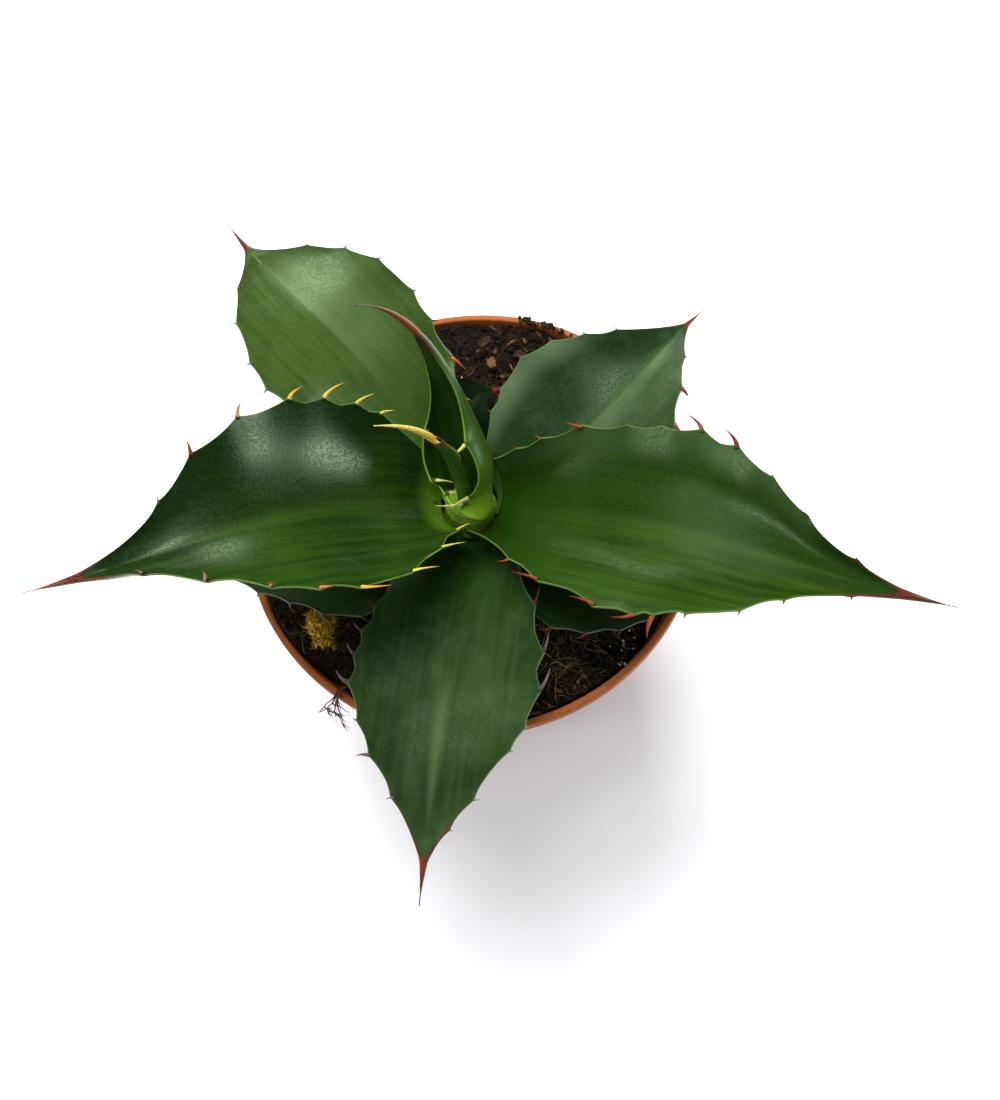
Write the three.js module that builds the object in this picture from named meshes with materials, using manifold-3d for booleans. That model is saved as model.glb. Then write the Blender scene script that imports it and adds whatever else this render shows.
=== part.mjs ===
// Potted agave: a young rosette of ten spiny leaves in a round nursery pot.
// Millimetres, +Z up, the pot stands on Z = 0 with its axis on the Z axis.
import * as THREE from 'three';
import { mergeVertices } from 'three/addons/utils/BufferGeometryUtils.js';
import Module from 'manifold-3d';

const wasm = await Module();
wasm.setup();

// ---------------------------------------------------------------- driving dimensions

const GAP = 0.3;

const POT = {
  height: 105,
  rimRadius: 75,
  lipWidth: 2.3,
  lipRound: 0.7,
  skirtHeight: 4.6,
  wallTopRadius: 73.4,
  baseRadius: 49.3,
  wall: 1.5,
  floor: 1.8,
  footRound: 1.2,
  segments: 60,
  holes: 8,
  holeRadius: 4,
  holeCircle: 34,
};

// The mix lies level but for heaps, each [x, y, height, spread].
const SOIL = {
  level: 97.6,
  tilt: 0.045,
  bump: 0.9,
  slack: 1.5,
  heaps: [
    [0, 0, 3.2, 30],
    [-64, -26, 8.5, 22],
    [4, 66, 3.6, 26],
    [34, 60, 3.4, 9],
  ],
  rings: 6,
  segments: 40,
};

const STEM = {
  foot: 78,
  shoulder: 96,
  top: 114.5,
  footRadius: 6,
  radius: 9.4,
  tipRadius: 8,
  neckShare: 0.95,
  neckRise: 10,
  footDrop: 6,
  dome: [[1, 3.5], [0.8, 1.2], [0.4, 0]],
  segments: 20,
};

const ROOTS = {
  count: 8,
  start: 84,
  reach: 46,
  drop: 62,
  thick: 1.5,
  thin: 0.6,
  steps: 6,
  sides: 4,
};

// Every leaf: spine is the curve of the midrib from the stem to the needle point, half the
// half widths from base to needle, curl the half angle of the channel, blade the share of
// the curve that is blade, and left and right the teeth of each margin as [place, length,
// slant towards the base, rise above the margin].
const LEAVES = [
  {
    name: 'leaf_spear',
    spine: [[-1.5, -3, 115.2], [-3, 0, 138], [1, -5, 177], [-20, -6, 185]],
    half: [6.4, 5.6, 5, 4.4, 3, 1.2],
    curl: [152, 152, 150, 145, 110],
    blade: 0.65,
    heading: 200,
    thick: [1.4, 1.2],
    left: [],
    right: [],
  },
  {
    name: 'leaf_inner_channelled',
    spine: [[2.2, -0.2, 115], [8, 2.7, 120.2], [4.1, 40.2, 170.4], [-18.1, 20.9, 201.8]],
    half: [21.5, 15.5, 19.2, 11.9, 5.2, 1.3],
    curl: [172, 117, 92, 75, 88],
    blade: 0.765,
    heading: 48,
    thick: [1.7, 1.4],
    left: [[0.22, 5, 20, 120], [0.32, 4, 0, 120], [0.55, 1.5, -20, 120]],
    right: [[0.19, 9, 0, 0], [0.26, 7, 20, 0], [0.55, 6.5, 0, 0]],
  },
  {
    name: 'leaf_left',
    spine: [[-9, -2, 112], [-46, -3, 155], [-82, -25, 168], [-131, -19, 152]],
    half: [14, 29, 33, 26, 10, 1.5],
    curl: [80, 40, 45, 55, 60],
    blade: 0.87,
    heading: 187,
    thick: [4.2, 2.6],
    left: [
      [0.06, 4.5, 40, 30], [0.14, 7, 50, 20], [0.24, 8, 70, 40], [0.39, 8.5, 62, 20],
      [0.48, 4, 45, 40], [0.58, 6, -20, 50], [0.7, 6.5, 0, 60], [0.83, 4, -20, 60],
    ],
    right: [
      [0.18, 5, 80, 0], [0.23, 6.5, 60, 20], [0.3, 8.5, 60, 0], [0.38, 6, 60, 0],
      [0.51, 4.5, 30, 0], [0.64, 4, 0, 20], [0.75, 1.5, 10, 0],
    ],
  },
  {
    name: 'leaf_right',
    spine: [[9, -4, 109.5], [53, -30, 146], [86, -60, 155], [131, -73, 136]],
    half: [18, 27, 31, 25, 10, 1.6],
    curl: [80, 35, 30, 40, 60],
    blade: 0.88,
    heading: -30,
    thick: [4.2, 2.6],
    left: [
      [0.055, 2.2, 25, 0], [0.11, 3, 70, 0], [0.19, 5.5, 60, 60], [0.28, 2, 80, 0],
      [0.36, 1.5, 50, 0], [0.45, 6.5, 60, 0], [0.54, 6, 50, 20], [0.64, 1.5, 60, 0],
      [0.74, 2, 80, 0], [0.88, 1.5, 70, 0],
    ],
    right: [
      [0.15, 3.5, 40, -20], [0.23, 7.5, 40, 40], [0.37, 7, 50, 60], [0.46, 6.5, 60, 0],
      [0.5, 7.5, -10, -20], [0.56, 2, -10, 0], [0.66, 2, 0, 0], [0.74, 2.2, 0, 0],
      [0.88, 2, 10, 0],
    ],
  },
  {
    name: 'leaf_back_left',
    spine: [[-5, 8, 108], [-28, 55, 142], [-40, 52, 154], [-60, 98, 149]],
    half: [12, 22, 28, 28, 19, 1.1],
    curl: [80, 40, 30, 30, 50],
    blade: 0.9,
    heading: 125,
    thick: [4, 2.5],
    left: [
      [0.3, 3, 40, 0], [0.42, 2.5, 30, 0], [0.55, 2, 10, 0], [0.65, 1.8, -10, 0],
      [0.78, 1.7, -10, 20], [0.88, 1.5, -10, 20],
    ],
    right: [
      [0.08, 3, 50, 20], [0.15, 3.5, 50, 0], [0.24, 6, 80, 20], [0.35, 2, 60, 0],
      [0.45, 1.5, 40, 0], [0.61, 1.4, 30, 0], [0.74, 1.6, 10, 20], [0.85, 1.4, -20, 0],
    ],
  },
  {
    name: 'leaf_back_right',
    spine: [[9, 5, 105], [35, 3, 125], [63, 25, 138], [87, 43, 129]],
    half: [10, 23, 30, 26, 13, 0.9],
    curl: [80, 30, 25, 40, 60],
    blade: 0.9,
    heading: 26,
    thick: [4, 2.5],
    left: [
      [0.19, 1.5, 20, 0], [0.28, 1.5, 30, 0], [0.44, 1.8, 10, 0], [0.58, 1.4, -20, 0],
      [0.69, 1.4, -20, 0], [0.78, 1.3, -20, 0],
    ],
    right: [
      [0.3, 3, 40, 0], [0.42, 3, 30, 0], [0.54, 3, 20, 0], [0.65, 2.5, 10, 0],
      [0.76, 4.8, 20, 0], [0.87, 1.8, 0, 0],
    ],
  },
  {
    name: 'leaf_front',
    spine: [[-2, -10, 103.5], [-14, -54, 132], [-24, -89, 134], [-36, -122, 112]],
    half: [12, 21, 27, 25, 13, 1.2],
    curl: [80, 25, 15, 25, 50],
    blade: 0.89,
    heading: 254,
    thick: [4.2, 2.6],
    left: [
      [0.15, 4, 60, 0], [0.26, 7.5, 80, 20], [0.39, 6.8, 85, 0], [0.5, 7, 70, 20],
      [0.6, 1.2, 20, 0], [0.67, 1.2, -10, 0], [0.81, 1.8, 10, 0], [0.9, 1.2, 0, 0],
    ],
    right: [
      [0.2, 4, 50, 0], [0.29, 3, 30, 0], [0.37, 3.5, 40, 0], [0.44, 4, 50, 20],
      [0.52, 5.5, 40, -20], [0.63, 1.5, 40, 0], [0.72, 3.5, -10, 0], [0.83, 1.5, -20, 20],
    ],
  },
  {
    name: 'leaf_lower_left',
    spine: [[-10, -7, 99.5], [-44, -27, 119], [-62, -11, 122], [-100, -4, 114]],
    half: [10, 15, 16.5, 12, 6, 1.3],
    curl: [60, 30, 25, 30, 50],
    blade: 0.9,
    heading: 183,
    thick: [3.4, 2.2],
    left: [
      [0.25, 3, 40, 0], [0.38, 3, 30, 0], [0.5, 3, 20, 0], [0.62, 2.5, 20, 0], [0.75, 2, 10, 0],
    ],
    right: [[0.3, 3, 40, 0], [0.5, 3, 20, 0], [0.7, 2.5, 10, 0]],
  },
  {
    name: 'leaf_lower_right',
    spine: [[8, -9, 99.5], [28, -48, 119], [46, -36, 118], [72, -46, 110]],
    half: [11, 15, 18, 17, 10, 1.4],
    curl: [60, 30, 25, 30, 50],
    blade: 0.9,
    heading: -30,
    thick: [3.4, 2.2],
    left: [[0.35, 3, 30, 0], [0.6, 3, 20, 0]],
    right: [
      [0.25, 3, 40, 0], [0.38, 4, 55, 0], [0.5, 4, 50, 0], [0.62, 3, 20, 0], [0.75, 2, 10, 0],
    ],
  },
  {
    name: 'leaf_lower_back',
    spine: [[4, 12, 99.5], [2, 26, 112], [5, 40, 117], [19, 38, 111]],
    half: [9, 12, 15, 14, 9, 1.2],
    curl: [60, 30, 25, 30, 50],
    blade: 0.9,
    heading: 60,
    thick: [3.2, 2],
    left: [[0.4, 2, 20, 0], [0.65, 2, 10, 0]],
    right: [[0.45, 2, 20, 0], [0.7, 2, 10, 0]],
  },
];

const LEAF_MESH = {
  across: 4,
  along: 16,
  edge: 1.1,
  point: 0.35,
  needleTaper: 1.4,
  toothBase: 2.3,
  toothEdge: 0.6,
  toothRoot: 1.2,
  toothTip: 0.12,
};

// Loose pieces on the potting mix: [direction in degrees, distance from the axis, length,
// width, thickness, turn in degrees].
const BARK = [
  [76, 64, 7, 4.5, 2.4, 20],
  [73, 56, 6, 4, 2.2, 100],
  [64, 61, 7, 4.5, 2.4, 150],
  [66, 49, 6, 4, 2, 70],
  [98, 60, 11, 6, 2.6, 35],
  [217, 60, 8, 6, 3, 40],
  [330, 60, 9, 5, 2.4, 100],
  [292, 60, 6, 3, 1.8, 15],
];

const MOSS = { direction: 206, distance: 59.5, radius: 7, height: 4.6, turn: 40 };

const CRUMBS = { direction: 60, length: 9, width: 2.2, height: 2 };

const FIBRES = {
  direction: 226,
  radius: 0.5,
  strands: 4,
  spread: 2.4,
  hang: 13,
  inside: 9,
  swing: 4,
};

// ---------------------------------------------------------------- small helpers

const radians = THREE.MathUtils.degToRad;

/** Interpolates evenly spaced values smoothly at x between 0 and 1. */
function ease(values, x) {
  const last = values.length - 1;
  const place = Math.min(Math.max(x, 0), 1) * last;
  const i = Math.min(Math.floor(place), last - 1);
  const f = place - i;
  const at = (k) => values[Math.min(Math.max(k, 0), last)];
  const [a, b, c, d] = [at(i - 1), at(i), at(i + 1), at(i + 2)];
  return b + 0.5 * f * (c - a + f * (2 * a - 5 * b + 4 * c - d + f * (3 * (b - c) + d - a)));
}

/** Turns a geometry into a manifold solid after joining its seams. */
function solid(geometry) {
  geometry.deleteAttribute('normal');
  geometry.deleteAttribute('uv');
  const merged = mergeVertices(geometry, 1e-4);
  return new wasm.Manifold(new wasm.Mesh({
    numProp: 3,
    vertProperties: merged.attributes.position.array,
    triVerts: new Uint32Array(merged.index.array),
  }));
}

/** Turns a manifold solid back into a geometry. */
function geometryOf(body) {
  const mesh = body.getMesh();
  const geometry = new THREE.BufferGeometry();
  geometry.setAttribute('position', new THREE.BufferAttribute(mesh.vertProperties, 3));
  geometry.setIndex(new THREE.BufferAttribute(mesh.triVerts, 1));
  geometry.computeVertexNormals();
  return geometry;
}

/** Keeps the largest separate body of a solid. */
function largest(body) {
  const parts = body.decompose();
  return parts.reduce((a, b) => (b.volume() > a.volume() ? b : a));
}

/** Moves every vertex of a geometry to map(x, y, z). */
function deform(geometry, map) {
  const position = geometry.attributes.position;
  const v = new THREE.Vector3();
  for (let i = 0; i < position.count; i += 1) {
    v.fromBufferAttribute(position, i);
    const moved = map(v.x, v.y, v.z);
    position.setXYZ(i, moved.x, moved.y, moved.z);
  }
  return geometry;
}

/** A named mesh with its own material. */
function piece(name, body, color, roughness, metalness = 0) {
  const material = new THREE.MeshStandardMaterial({ color, roughness, metalness });
  const mesh = new THREE.Mesh(geometryOf(body), material);
  mesh.name = name;
  return mesh;
}

// ---------------------------------------------------------------- the leaves

/** The surface of one leaf: midrib, channel section and margins. */
function leafSurface(spec) {
  const curve = new THREE.CubicBezierCurve3(...spec.spine.map((p) => new THREE.Vector3(...p)));
  const a = radians(spec.heading);
  const side = new THREE.Vector3(-Math.sin(a), Math.cos(a), 0);

  function frame(t) {
    const tangent = curve.getTangent(t);
    const across = side.clone().addScaledVector(tangent, -side.dot(tangent)).normalize();
    const normal = new THREE.Vector3().crossVectors(tangent, across);
    return { tangent, across, normal };
  }

  function half(t) {
    if (t <= spec.blade) {
      return ease(spec.half, t / spec.blade);
    }
    const share = (t - spec.blade) / (1 - spec.blade);
    return Math.max(spec.half.at(-1) * (1 - share) ** LEAF_MESH.needleTaper, LEAF_MESH.point);
  }

  function thickness(u, t) {
    const middle = spec.thick[0] + (spec.thick[1] - spec.thick[0]) * Math.min(t / spec.blade, 1);
    const body = LEAF_MESH.edge + (middle - LEAF_MESH.edge) * (1 - Math.abs(u) ** 1.6);
    const needle = 1.7 * half(t) * (1 - 0.35 * Math.abs(u));
    return Math.min(body, needle);
  }

  function at(u, t, grow, lift) {
    const { across, normal } = frame(t);
    const phi = radians(Math.max(ease(spec.curl, t), 1));
    const wide = half(t) / phi;
    const turn = phi * u * (1 + grow / half(t));
    const out = across.clone().multiplyScalar(Math.cos(turn));
    out.addScaledVector(normal, Math.sin(turn));
    const up = across.clone().multiplyScalar(-Math.sin(turn));
    up.addScaledVector(normal, Math.cos(turn));
    const point = curve.getPoint(t);
    point.addScaledVector(across, wide * Math.sin(turn));
    point.addScaledVector(normal, wide * (1 - Math.cos(turn)));
    point.addScaledVector(up, lift);
    return { point, out, up };
  }

  return { curve, frame, half, thickness, at };
}

/** The blade and its needle as a solid, enlarged all round by grow. */
function bladeSolid(spec, surface, grow) {
  const box = new THREE.BoxGeometry(2, 1, 1, LEAF_MESH.across, LEAF_MESH.along, 1);
  return solid(deform(box, (x, y, z) => {
    const t = y + 0.5;
    const lift = z > 0 ? grow : -surface.thickness(x, t) - grow;
    const { point } = surface.at(-x, t, grow, lift);
    if (y < -0.499) {
      point.addScaledVector(surface.frame(0).tangent, -grow);
    }
    return point;
  }));
}

/** One hooked marginal tooth standing on the margin at t. */
function toothSolid(spec, surface, sign, [place, length, slant, rise], grow) {
  const t = place * spec.blade;
  const depth = -0.5 * surface.thickness(sign, t);
  const { point, out, up } = surface.at(sign, t, 0, depth);
  const outward = out.multiplyScalar(sign);
  const back = surface.frame(t).tangent.multiplyScalar(-1);
  const turned = outward.clone().multiplyScalar(Math.cos(radians(rise)));
  turned.addScaledVector(up, Math.sin(radians(rise)));
  const aim = turned.clone().multiplyScalar(Math.cos(radians(slant)));
  aim.addScaledVector(back, Math.sin(radians(slant)));
  const root = point.clone().addScaledVector(outward, -LEAF_MESH.toothRoot);
  const elbow = 0.45 * length * Math.cos(radians(slant)) + LEAF_MESH.toothRoot;
  const bend = root.clone().addScaledVector(turned, elbow);
  const tip = point.clone().addScaledVector(aim, length + 2 * grow);
  const path = new THREE.QuadraticBezierCurve3(root, bend, tip);
  const cone = new THREE.CylinderGeometry(LEAF_MESH.toothTip, 1, 1, 4, 2);
  return solid(deform(cone, (x, y, z) => {
    const s = y + 0.5;
    const centre = path.getPoint(s);
    const broad = LEAF_MESH.toothBase * Math.min(length / 4, 1) + grow;
    centre.addScaledVector(back, -sign * x * broad);
    return centre.addScaledVector(up, z * (LEAF_MESH.toothEdge + grow));
  }));
}

/** The whole leaf with its teeth, enlarged all round by grow. */
function leafSolid(spec, grow = 0) {
  const surface = leafSurface(spec);
  let body = bladeSolid(spec, surface, grow);
  for (const [sign, teeth] of [[1, spec.left], [-1, spec.right]]) {
    for (const tooth of teeth) {
      body = body.add(toothSolid(spec, surface, sign, tooth, grow));
    }
  }
  return body;
}

/** Cuts a body clear of every cutter and keeps its largest part. */
function cutClear(body, cutters) {
  return largest(cutters.reduce((left, cutter) => left.subtract(cutter), body));
}

// ---------------------------------------------------------------- stem and roots

/** A tapering root that leaves the stem and dives outwards. */
function rootSolid(index, grow) {
  const direction = radians((360 / ROOTS.count) * index + 13 * Math.sin(index * 2.3));
  const reach = ROOTS.reach * (0.72 + 0.28 * Math.sin(index * 1.7 + 1));
  const drop = ROOTS.drop * (0.7 + 0.3 * Math.cos(index * 2.1));
  const out = new THREE.Vector3(Math.cos(direction), Math.sin(direction), 0);
  const side = new THREE.Vector3(-out.y, out.x, 0);
  const from = new THREE.Vector3(0, 0, ROOTS.start).addScaledVector(out, 2);
  const one = from.clone().addScaledVector(out, reach * 0.5).add(new THREE.Vector3(0, 0, -4));
  const two = from.clone().addScaledVector(out, reach * 0.9).addScaledVector(side, 6);
  two.z -= drop * 0.45;
  const end = from.clone().addScaledVector(out, reach).addScaledVector(side, -4);
  end.z -= drop;
  const path = new THREE.CubicBezierCurve3(from, one, two, end);
  const tube = new THREE.CylinderGeometry(1, 1, 1, ROOTS.sides, ROOTS.steps);
  return solid(deform(tube, (x, y, z) => {
    const s = y + 0.5;
    const tangent = path.getTangent(s);
    const across = side.clone().addScaledVector(tangent, -side.dot(tangent)).normalize();
    const normal = new THREE.Vector3().crossVectors(across, tangent);
    const radius = ROOTS.thick + (ROOTS.thin - ROOTS.thick) * s + grow;
    const centre = path.getPoint(s).addScaledVector(tangent, s > 0.99 ? grow : 0);
    centre.addScaledVector(across, x * radius);
    return centre.addScaledVector(normal, z * radius);
  }));
}

/** The short stem that carries the leaves. */
function stemCore(grow) {
  const { foot, footDrop, shoulder, top, footRadius, radius, tipRadius } = STEM;
  const profile = [
    [0, foot - footDrop - grow],
    [footRadius * 0.6 + grow, foot - footDrop + 1 - grow],
    [footRadius + grow, foot],
    [radius + grow, shoulder],
    [radius * STEM.neckShare + grow, shoulder + STEM.neckRise],
    ...STEM.dome.map(([share, down]) => [tipRadius * share + grow, top - down + grow]),
    [0, top + grow],
  ].map(([x, y]) => new THREE.Vector2(x, y));
  return solid(new THREE.LatheGeometry(profile, STEM.segments).rotateX(Math.PI / 2));
}

/** The stem with its roots as one grown piece, enlarged all round by grow. */
function plantCore(grow = 0) {
  let body = stemCore(grow);
  for (let i = 0; i < ROOTS.count; i += 1) {
    body = body.add(rootSolid(i, grow));
  }
  return body;
}

// ---------------------------------------------------------------- pot and potting mix

/** Inner radius of the pot wall at height z. */
function innerRadius(z) {
  const share = z / (POT.height - POT.skirtHeight);
  return POT.baseRadius + (POT.wallTopRadius - POT.baseRadius) * share - POT.wall;
}

/** The moulded pot with its thickened rim and drainage holes. */
function potSolid() {
  const { height, rimRadius, lipWidth, lipRound, skirtHeight, baseRadius, footRound } = POT;
  const skirt = height - skirtHeight;
  const innerLip = rimRadius - lipWidth;
  const profile = [
    [0, 0],
    [baseRadius - footRound, 0],
    [baseRadius - 0.3, 0.4],
    [baseRadius, footRound],
    [POT.wallTopRadius, skirt - 0.6],
    [rimRadius - 0.5, skirt],
    [rimRadius, skirt + 0.6],
    [rimRadius, height - lipRound],
    [rimRadius - lipRound, height],
    [innerLip + lipRound, height],
    [innerLip, height - lipRound],
    [innerRadius(skirt), skirt - 1],
    [innerRadius(POT.floor) + 0.1, POT.floor + 0.8],
    [innerRadius(POT.floor) - 0.8, POT.floor],
    [0, POT.floor],
  ].map(([x, y]) => new THREE.Vector2(x, y));
  let body = solid(new THREE.LatheGeometry(profile, POT.segments).rotateX(Math.PI / 2));
  for (let i = 0; i < POT.holes; i += 1) {
    const a = (i * 2 * Math.PI) / POT.holes;
    const drill = new THREE.CylinderGeometry(POT.holeRadius, POT.holeRadius, 4 * POT.floor, 14);
    drill.rotateX(Math.PI / 2);
    drill.translate(POT.holeCircle * Math.cos(a), POT.holeCircle * Math.sin(a), POT.floor / 2);
    body = body.subtract(solid(drill));
  }
  return body;
}

/** Height of the potting mix at x, y. */
function soilHeight(x, y) {
  const waves = Math.sin(x * 0.21 + 1.3) * Math.cos(y * 0.17) + 0.6 * Math.sin(y * 0.33 + x * 0.11);
  const piled = SOIL.heaps.reduce(
    (sum, [a, b, high, wide]) => sum + high * Math.exp(-((x - a) ** 2 + (y - b) ** 2) / wide ** 2),
    0,
  );
  return SOIL.level + SOIL.tilt * y + SOIL.bump * waves + piled;
}

/** The filling of potting mix with an uneven top. */
function soilSolid() {
  const low = POT.floor + GAP;
  const points = [[0, low], [innerRadius(low) - 1.6, low], [innerRadius(low + 2) - GAP, low + 2]];
  const reach = innerRadius(SOIL.level) - GAP;
  for (let i = SOIL.rings; i >= 1; i -= 1) {
    points.push([(reach * i) / SOIL.rings, SOIL.level]);
  }
  points.push([0, SOIL.level]);
  const profile = points.map(([x, y]) => new THREE.Vector2(x, y));
  const lathe = new THREE.LatheGeometry(profile, SOIL.segments).rotateX(Math.PI / 2);
  return solid(deform(lathe, (x, y, z) => {
    if (z < low + 3) {
      return new THREE.Vector3(x, y, z);
    }
    const turn = Math.atan2(y, x);
    const edge = soilHeight(reach * Math.cos(turn), reach * Math.sin(turn));
    const stretch = (innerRadius(edge - SOIL.slack) - GAP) / reach;
    const [across, deep] = [x * stretch, y * stretch];
    return new THREE.Vector3(across, deep, soilHeight(across, deep));
  }));
}

// ---------------------------------------------------------------- loose pieces

/** Lays a geometry on the potting mix at a direction and distance, lifted by lift. */
function onSoil(geometry, direction, distance, turn, lift) {
  const x = distance * Math.cos(radians(direction));
  const y = distance * Math.sin(radians(direction));
  return geometry.rotateZ(radians(turn)).translate(x, y, soilHeight(x, y) + lift);
}

/** A flake of bark: a flattened, chipped block. */
function barkSolid([direction, distance, length, width, thickness, turn], index, grow) {
  const more = 2.6 * grow;
  const block = new THREE.BoxGeometry(1, 1, 1, 3, 2, 1);
  deform(block, (x, y, z) => {
    const wave = Math.sin(x * 19 + index * 2) * Math.cos(y * 9 + index);
    const end = 1 - 0.35 * (2 * x) ** 2;
    return new THREE.Vector3(
      x * (length + more) + 0.3 * wave,
      y * (width * end + more) + 0.4 * wave,
      z * (thickness * end + more) + 0.35 * wave,
    );
  });
  return solid(onSoil(block, direction, distance, turn, thickness * 0.35));
}

/** A rounded tuft of moss and coir. */
function mossSolid(grow) {
  const ball = new THREE.SphereGeometry(1, 14, 8);
  deform(ball, (x, y, z) => {
    const wave = 1 + 0.12 * Math.sin(x * 5 + 1) * Math.cos(y * 6) + 0.06 * Math.sin(z * 9);
    const wide = MOSS.radius * wave + grow;
    return new THREE.Vector3(x * wide, y * wide * 0.8, z * (MOSS.height * 0.5 * wave + grow));
  });
  return solid(onSoil(ball, MOSS.direction, MOSS.distance, MOSS.turn, MOSS.height * 0.2));
}

/** Crumbs of mix lying on the rim at the back. */
function crumbSolid() {
  const ball = new THREE.SphereGeometry(1, 10, 5);
  deform(ball, (x, y, z) => {
    const wave = 1 + 0.2 * Math.sin(x * 7 + 2) * Math.cos(y * 5);
    return new THREE.Vector3(
      x * CRUMBS.length * 0.5 * wave,
      y * CRUMBS.width * 0.5 * wave,
      z * CRUMBS.height * 0.5 * wave,
    );
  });
  const middle = POT.rimRadius - POT.lipWidth / 2;
  const a = radians(CRUMBS.direction);
  ball.rotateZ(a + Math.PI / 2);
  ball.translate(middle * Math.cos(a), middle * Math.sin(a), POT.height + 0.75 * CRUMBS.height);
  return solid(ball);
}

/** A bundle of root fibres that lies over the rim and hangs down outside. */
function fibreSolid(grow) {
  const a = radians(FIBRES.direction);
  const out = new THREE.Vector3(Math.cos(a), Math.sin(a), 0);
  const side = new THREE.Vector3(-out.y, out.x, 0);
  const lip = POT.height + FIBRES.radius + GAP + 0.4;
  const at = (radial, sideways, z) => new THREE.Vector3(0, 0, z)
    .addScaledVector(out, radial)
    .addScaledVector(side, sideways);
  let body = null;
  for (let i = 0; i < FIBRES.strands; i += 1) {
    const k = i - (FIBRES.strands - 1) / 2;
    const hang = FIBRES.hang * (0.7 + 0.3 * Math.cos(i * 2.4));
    const outer = POT.rimRadius + FIBRES.radius + GAP + 0.7;
    const path = new THREE.CatmullRomCurve3([
      at(POT.rimRadius - POT.lipWidth - FIBRES.inside, 0.4 * k, SOIL.level - 3),
      at(POT.rimRadius - POT.lipWidth - 0.6 * FIBRES.inside, 0.4 * k, SOIL.level + 2),
      at(POT.rimRadius - POT.lipWidth - 1, 0.3 * k, lip + 0.4),
      at(POT.rimRadius - 0.4, 0.35 * k, lip + 0.5),
      at(outer + 0.8, 0.8 * k, lip - 1.5),
      at(outer + 0.7 * FIBRES.swing, FIBRES.spread * k, lip - 0.5 * hang),
      at(outer + FIBRES.swing * (0.6 + 0.5 * (i % 2)), FIBRES.spread * k + 0.8, lip - hang),
    ]);
    const tube = new THREE.CylinderGeometry(1, 1, 1, 4, 9);
    const strand = solid(deform(tube, (x, y, z) => {
      const s = y + 0.5;
      const tangent = path.getTangent(s);
      const across = side.clone().addScaledVector(tangent, -side.dot(tangent)).normalize();
      const normal = new THREE.Vector3().crossVectors(across, tangent);
      const radius = FIBRES.radius * (1 - 0.45 * s) + grow;
      return path.getPoint(s)
        .addScaledVector(across, x * radius)
        .addScaledVector(normal, z * radius);
    }));
    body = body ? body.add(strand) : strand;
  }
  return body;
}

// ---------------------------------------------------------------- assembly

const group = new THREE.Group();
group.name = 'potted_agave';

const core = plantCore();
const grownCore = plantCore(GAP);

const leafBodies = [];
const leafCutters = [grownCore];
for (const spec of LEAVES) {
  leafBodies.push([spec.name, cutClear(leafSolid(spec), leafCutters)]);
  leafCutters.push(leafSolid(spec, GAP));
}

const loose = (grow) => [
  ...BARK.map((spec, i) => [`bark_chip_${i + 1}`, barkSolid(spec, i, grow)]),
  ['moss_tuft', mossSolid(grow)],
  ['root_fibres', fibreSolid(grow)],
];
const mixCutters = [...leafCutters, ...loose(GAP).map(([, body]) => body)];

group.add(piece('pot', potSolid(), '#9a5230', 0.55));
group.add(piece('potting_mix', cutClear(soilSolid(), mixCutters), '#2c211a', 0.95));
group.add(piece('stem_with_roots', core, '#8a9a4a', 0.6));
for (const [name, body] of leafBodies) {
  group.add(piece(name, body, name.includes('lower') ? '#24401f' : '#3d6a2b', 0.42));
}
for (const [name, body] of loose(0)) {
  const color = name.startsWith('bark') ? '#6b4023' : '#8a6a28';
  group.add(piece(name, cutClear(body, leafCutters), color, 0.9));
}
group.add(piece('mix_crumbs_on_rim', crumbSolid(), '#2c211a', 0.95));

export default group;
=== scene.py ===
"""Looks of a potted agave: ten spiny leaves, loose potting mix and a round nursery pot."""
import sys
import logging
import random
from collections.abc import Callable, Sequence
from dataclasses import dataclass, field
from enum import Enum
from functools import lru_cache
from math import atan2, cos, exp, pi, radians, sin, sqrt, tanh, tau

import bmesh
import bpy
from mathutils import Euler, Matrix, Vector, noise


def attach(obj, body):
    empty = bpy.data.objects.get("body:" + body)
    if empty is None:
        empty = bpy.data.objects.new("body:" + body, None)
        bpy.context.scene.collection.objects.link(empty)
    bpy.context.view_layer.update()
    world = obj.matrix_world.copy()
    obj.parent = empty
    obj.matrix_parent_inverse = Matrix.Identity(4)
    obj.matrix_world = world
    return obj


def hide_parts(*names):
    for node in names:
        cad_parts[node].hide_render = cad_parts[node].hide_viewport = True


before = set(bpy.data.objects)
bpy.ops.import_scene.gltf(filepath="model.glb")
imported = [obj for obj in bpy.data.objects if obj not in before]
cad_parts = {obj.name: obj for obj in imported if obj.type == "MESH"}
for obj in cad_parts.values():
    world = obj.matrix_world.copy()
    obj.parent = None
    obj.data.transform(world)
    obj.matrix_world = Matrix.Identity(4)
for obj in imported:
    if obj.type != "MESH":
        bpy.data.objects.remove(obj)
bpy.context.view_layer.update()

LOG = logging.getLogger("potted_agave")
MM = 0.001
ROOT = "root"
NOISE_SEED = 9  # without a seed, noise_vector differs from run to run

Socket = bpy.types.NodeSocket
Material = bpy.types.Material
Mesh = bpy.types.Mesh
Piece = bpy.types.Object
Solid = bmesh.types.BMesh
Pair = tuple[float, float]
Triple = tuple[float, float, float]
Colour = Triple
Quad = tuple[float, float, float, float]
Teeth = tuple[Quad, ...]
Path = Callable[[float], Vector]
LEAF_MARKS = ("along", "across", "edge", "under", "horn", "ripe")


# ---------------------------------------------------------------- curves and numbers


def mix(a: float, b: float, share: float) -> float:
    """Returns the value a share of the way from a to b."""
    return a + (b - a) * share


def smooth(low: float, high: float, x: float) -> float:
    """Returns a smooth step from 0 at low to 1 at high."""
    f = min(max((x - low) / (high - low), 0.0), 1.0)
    return f * f * (3.0 - 2.0 * f)


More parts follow.
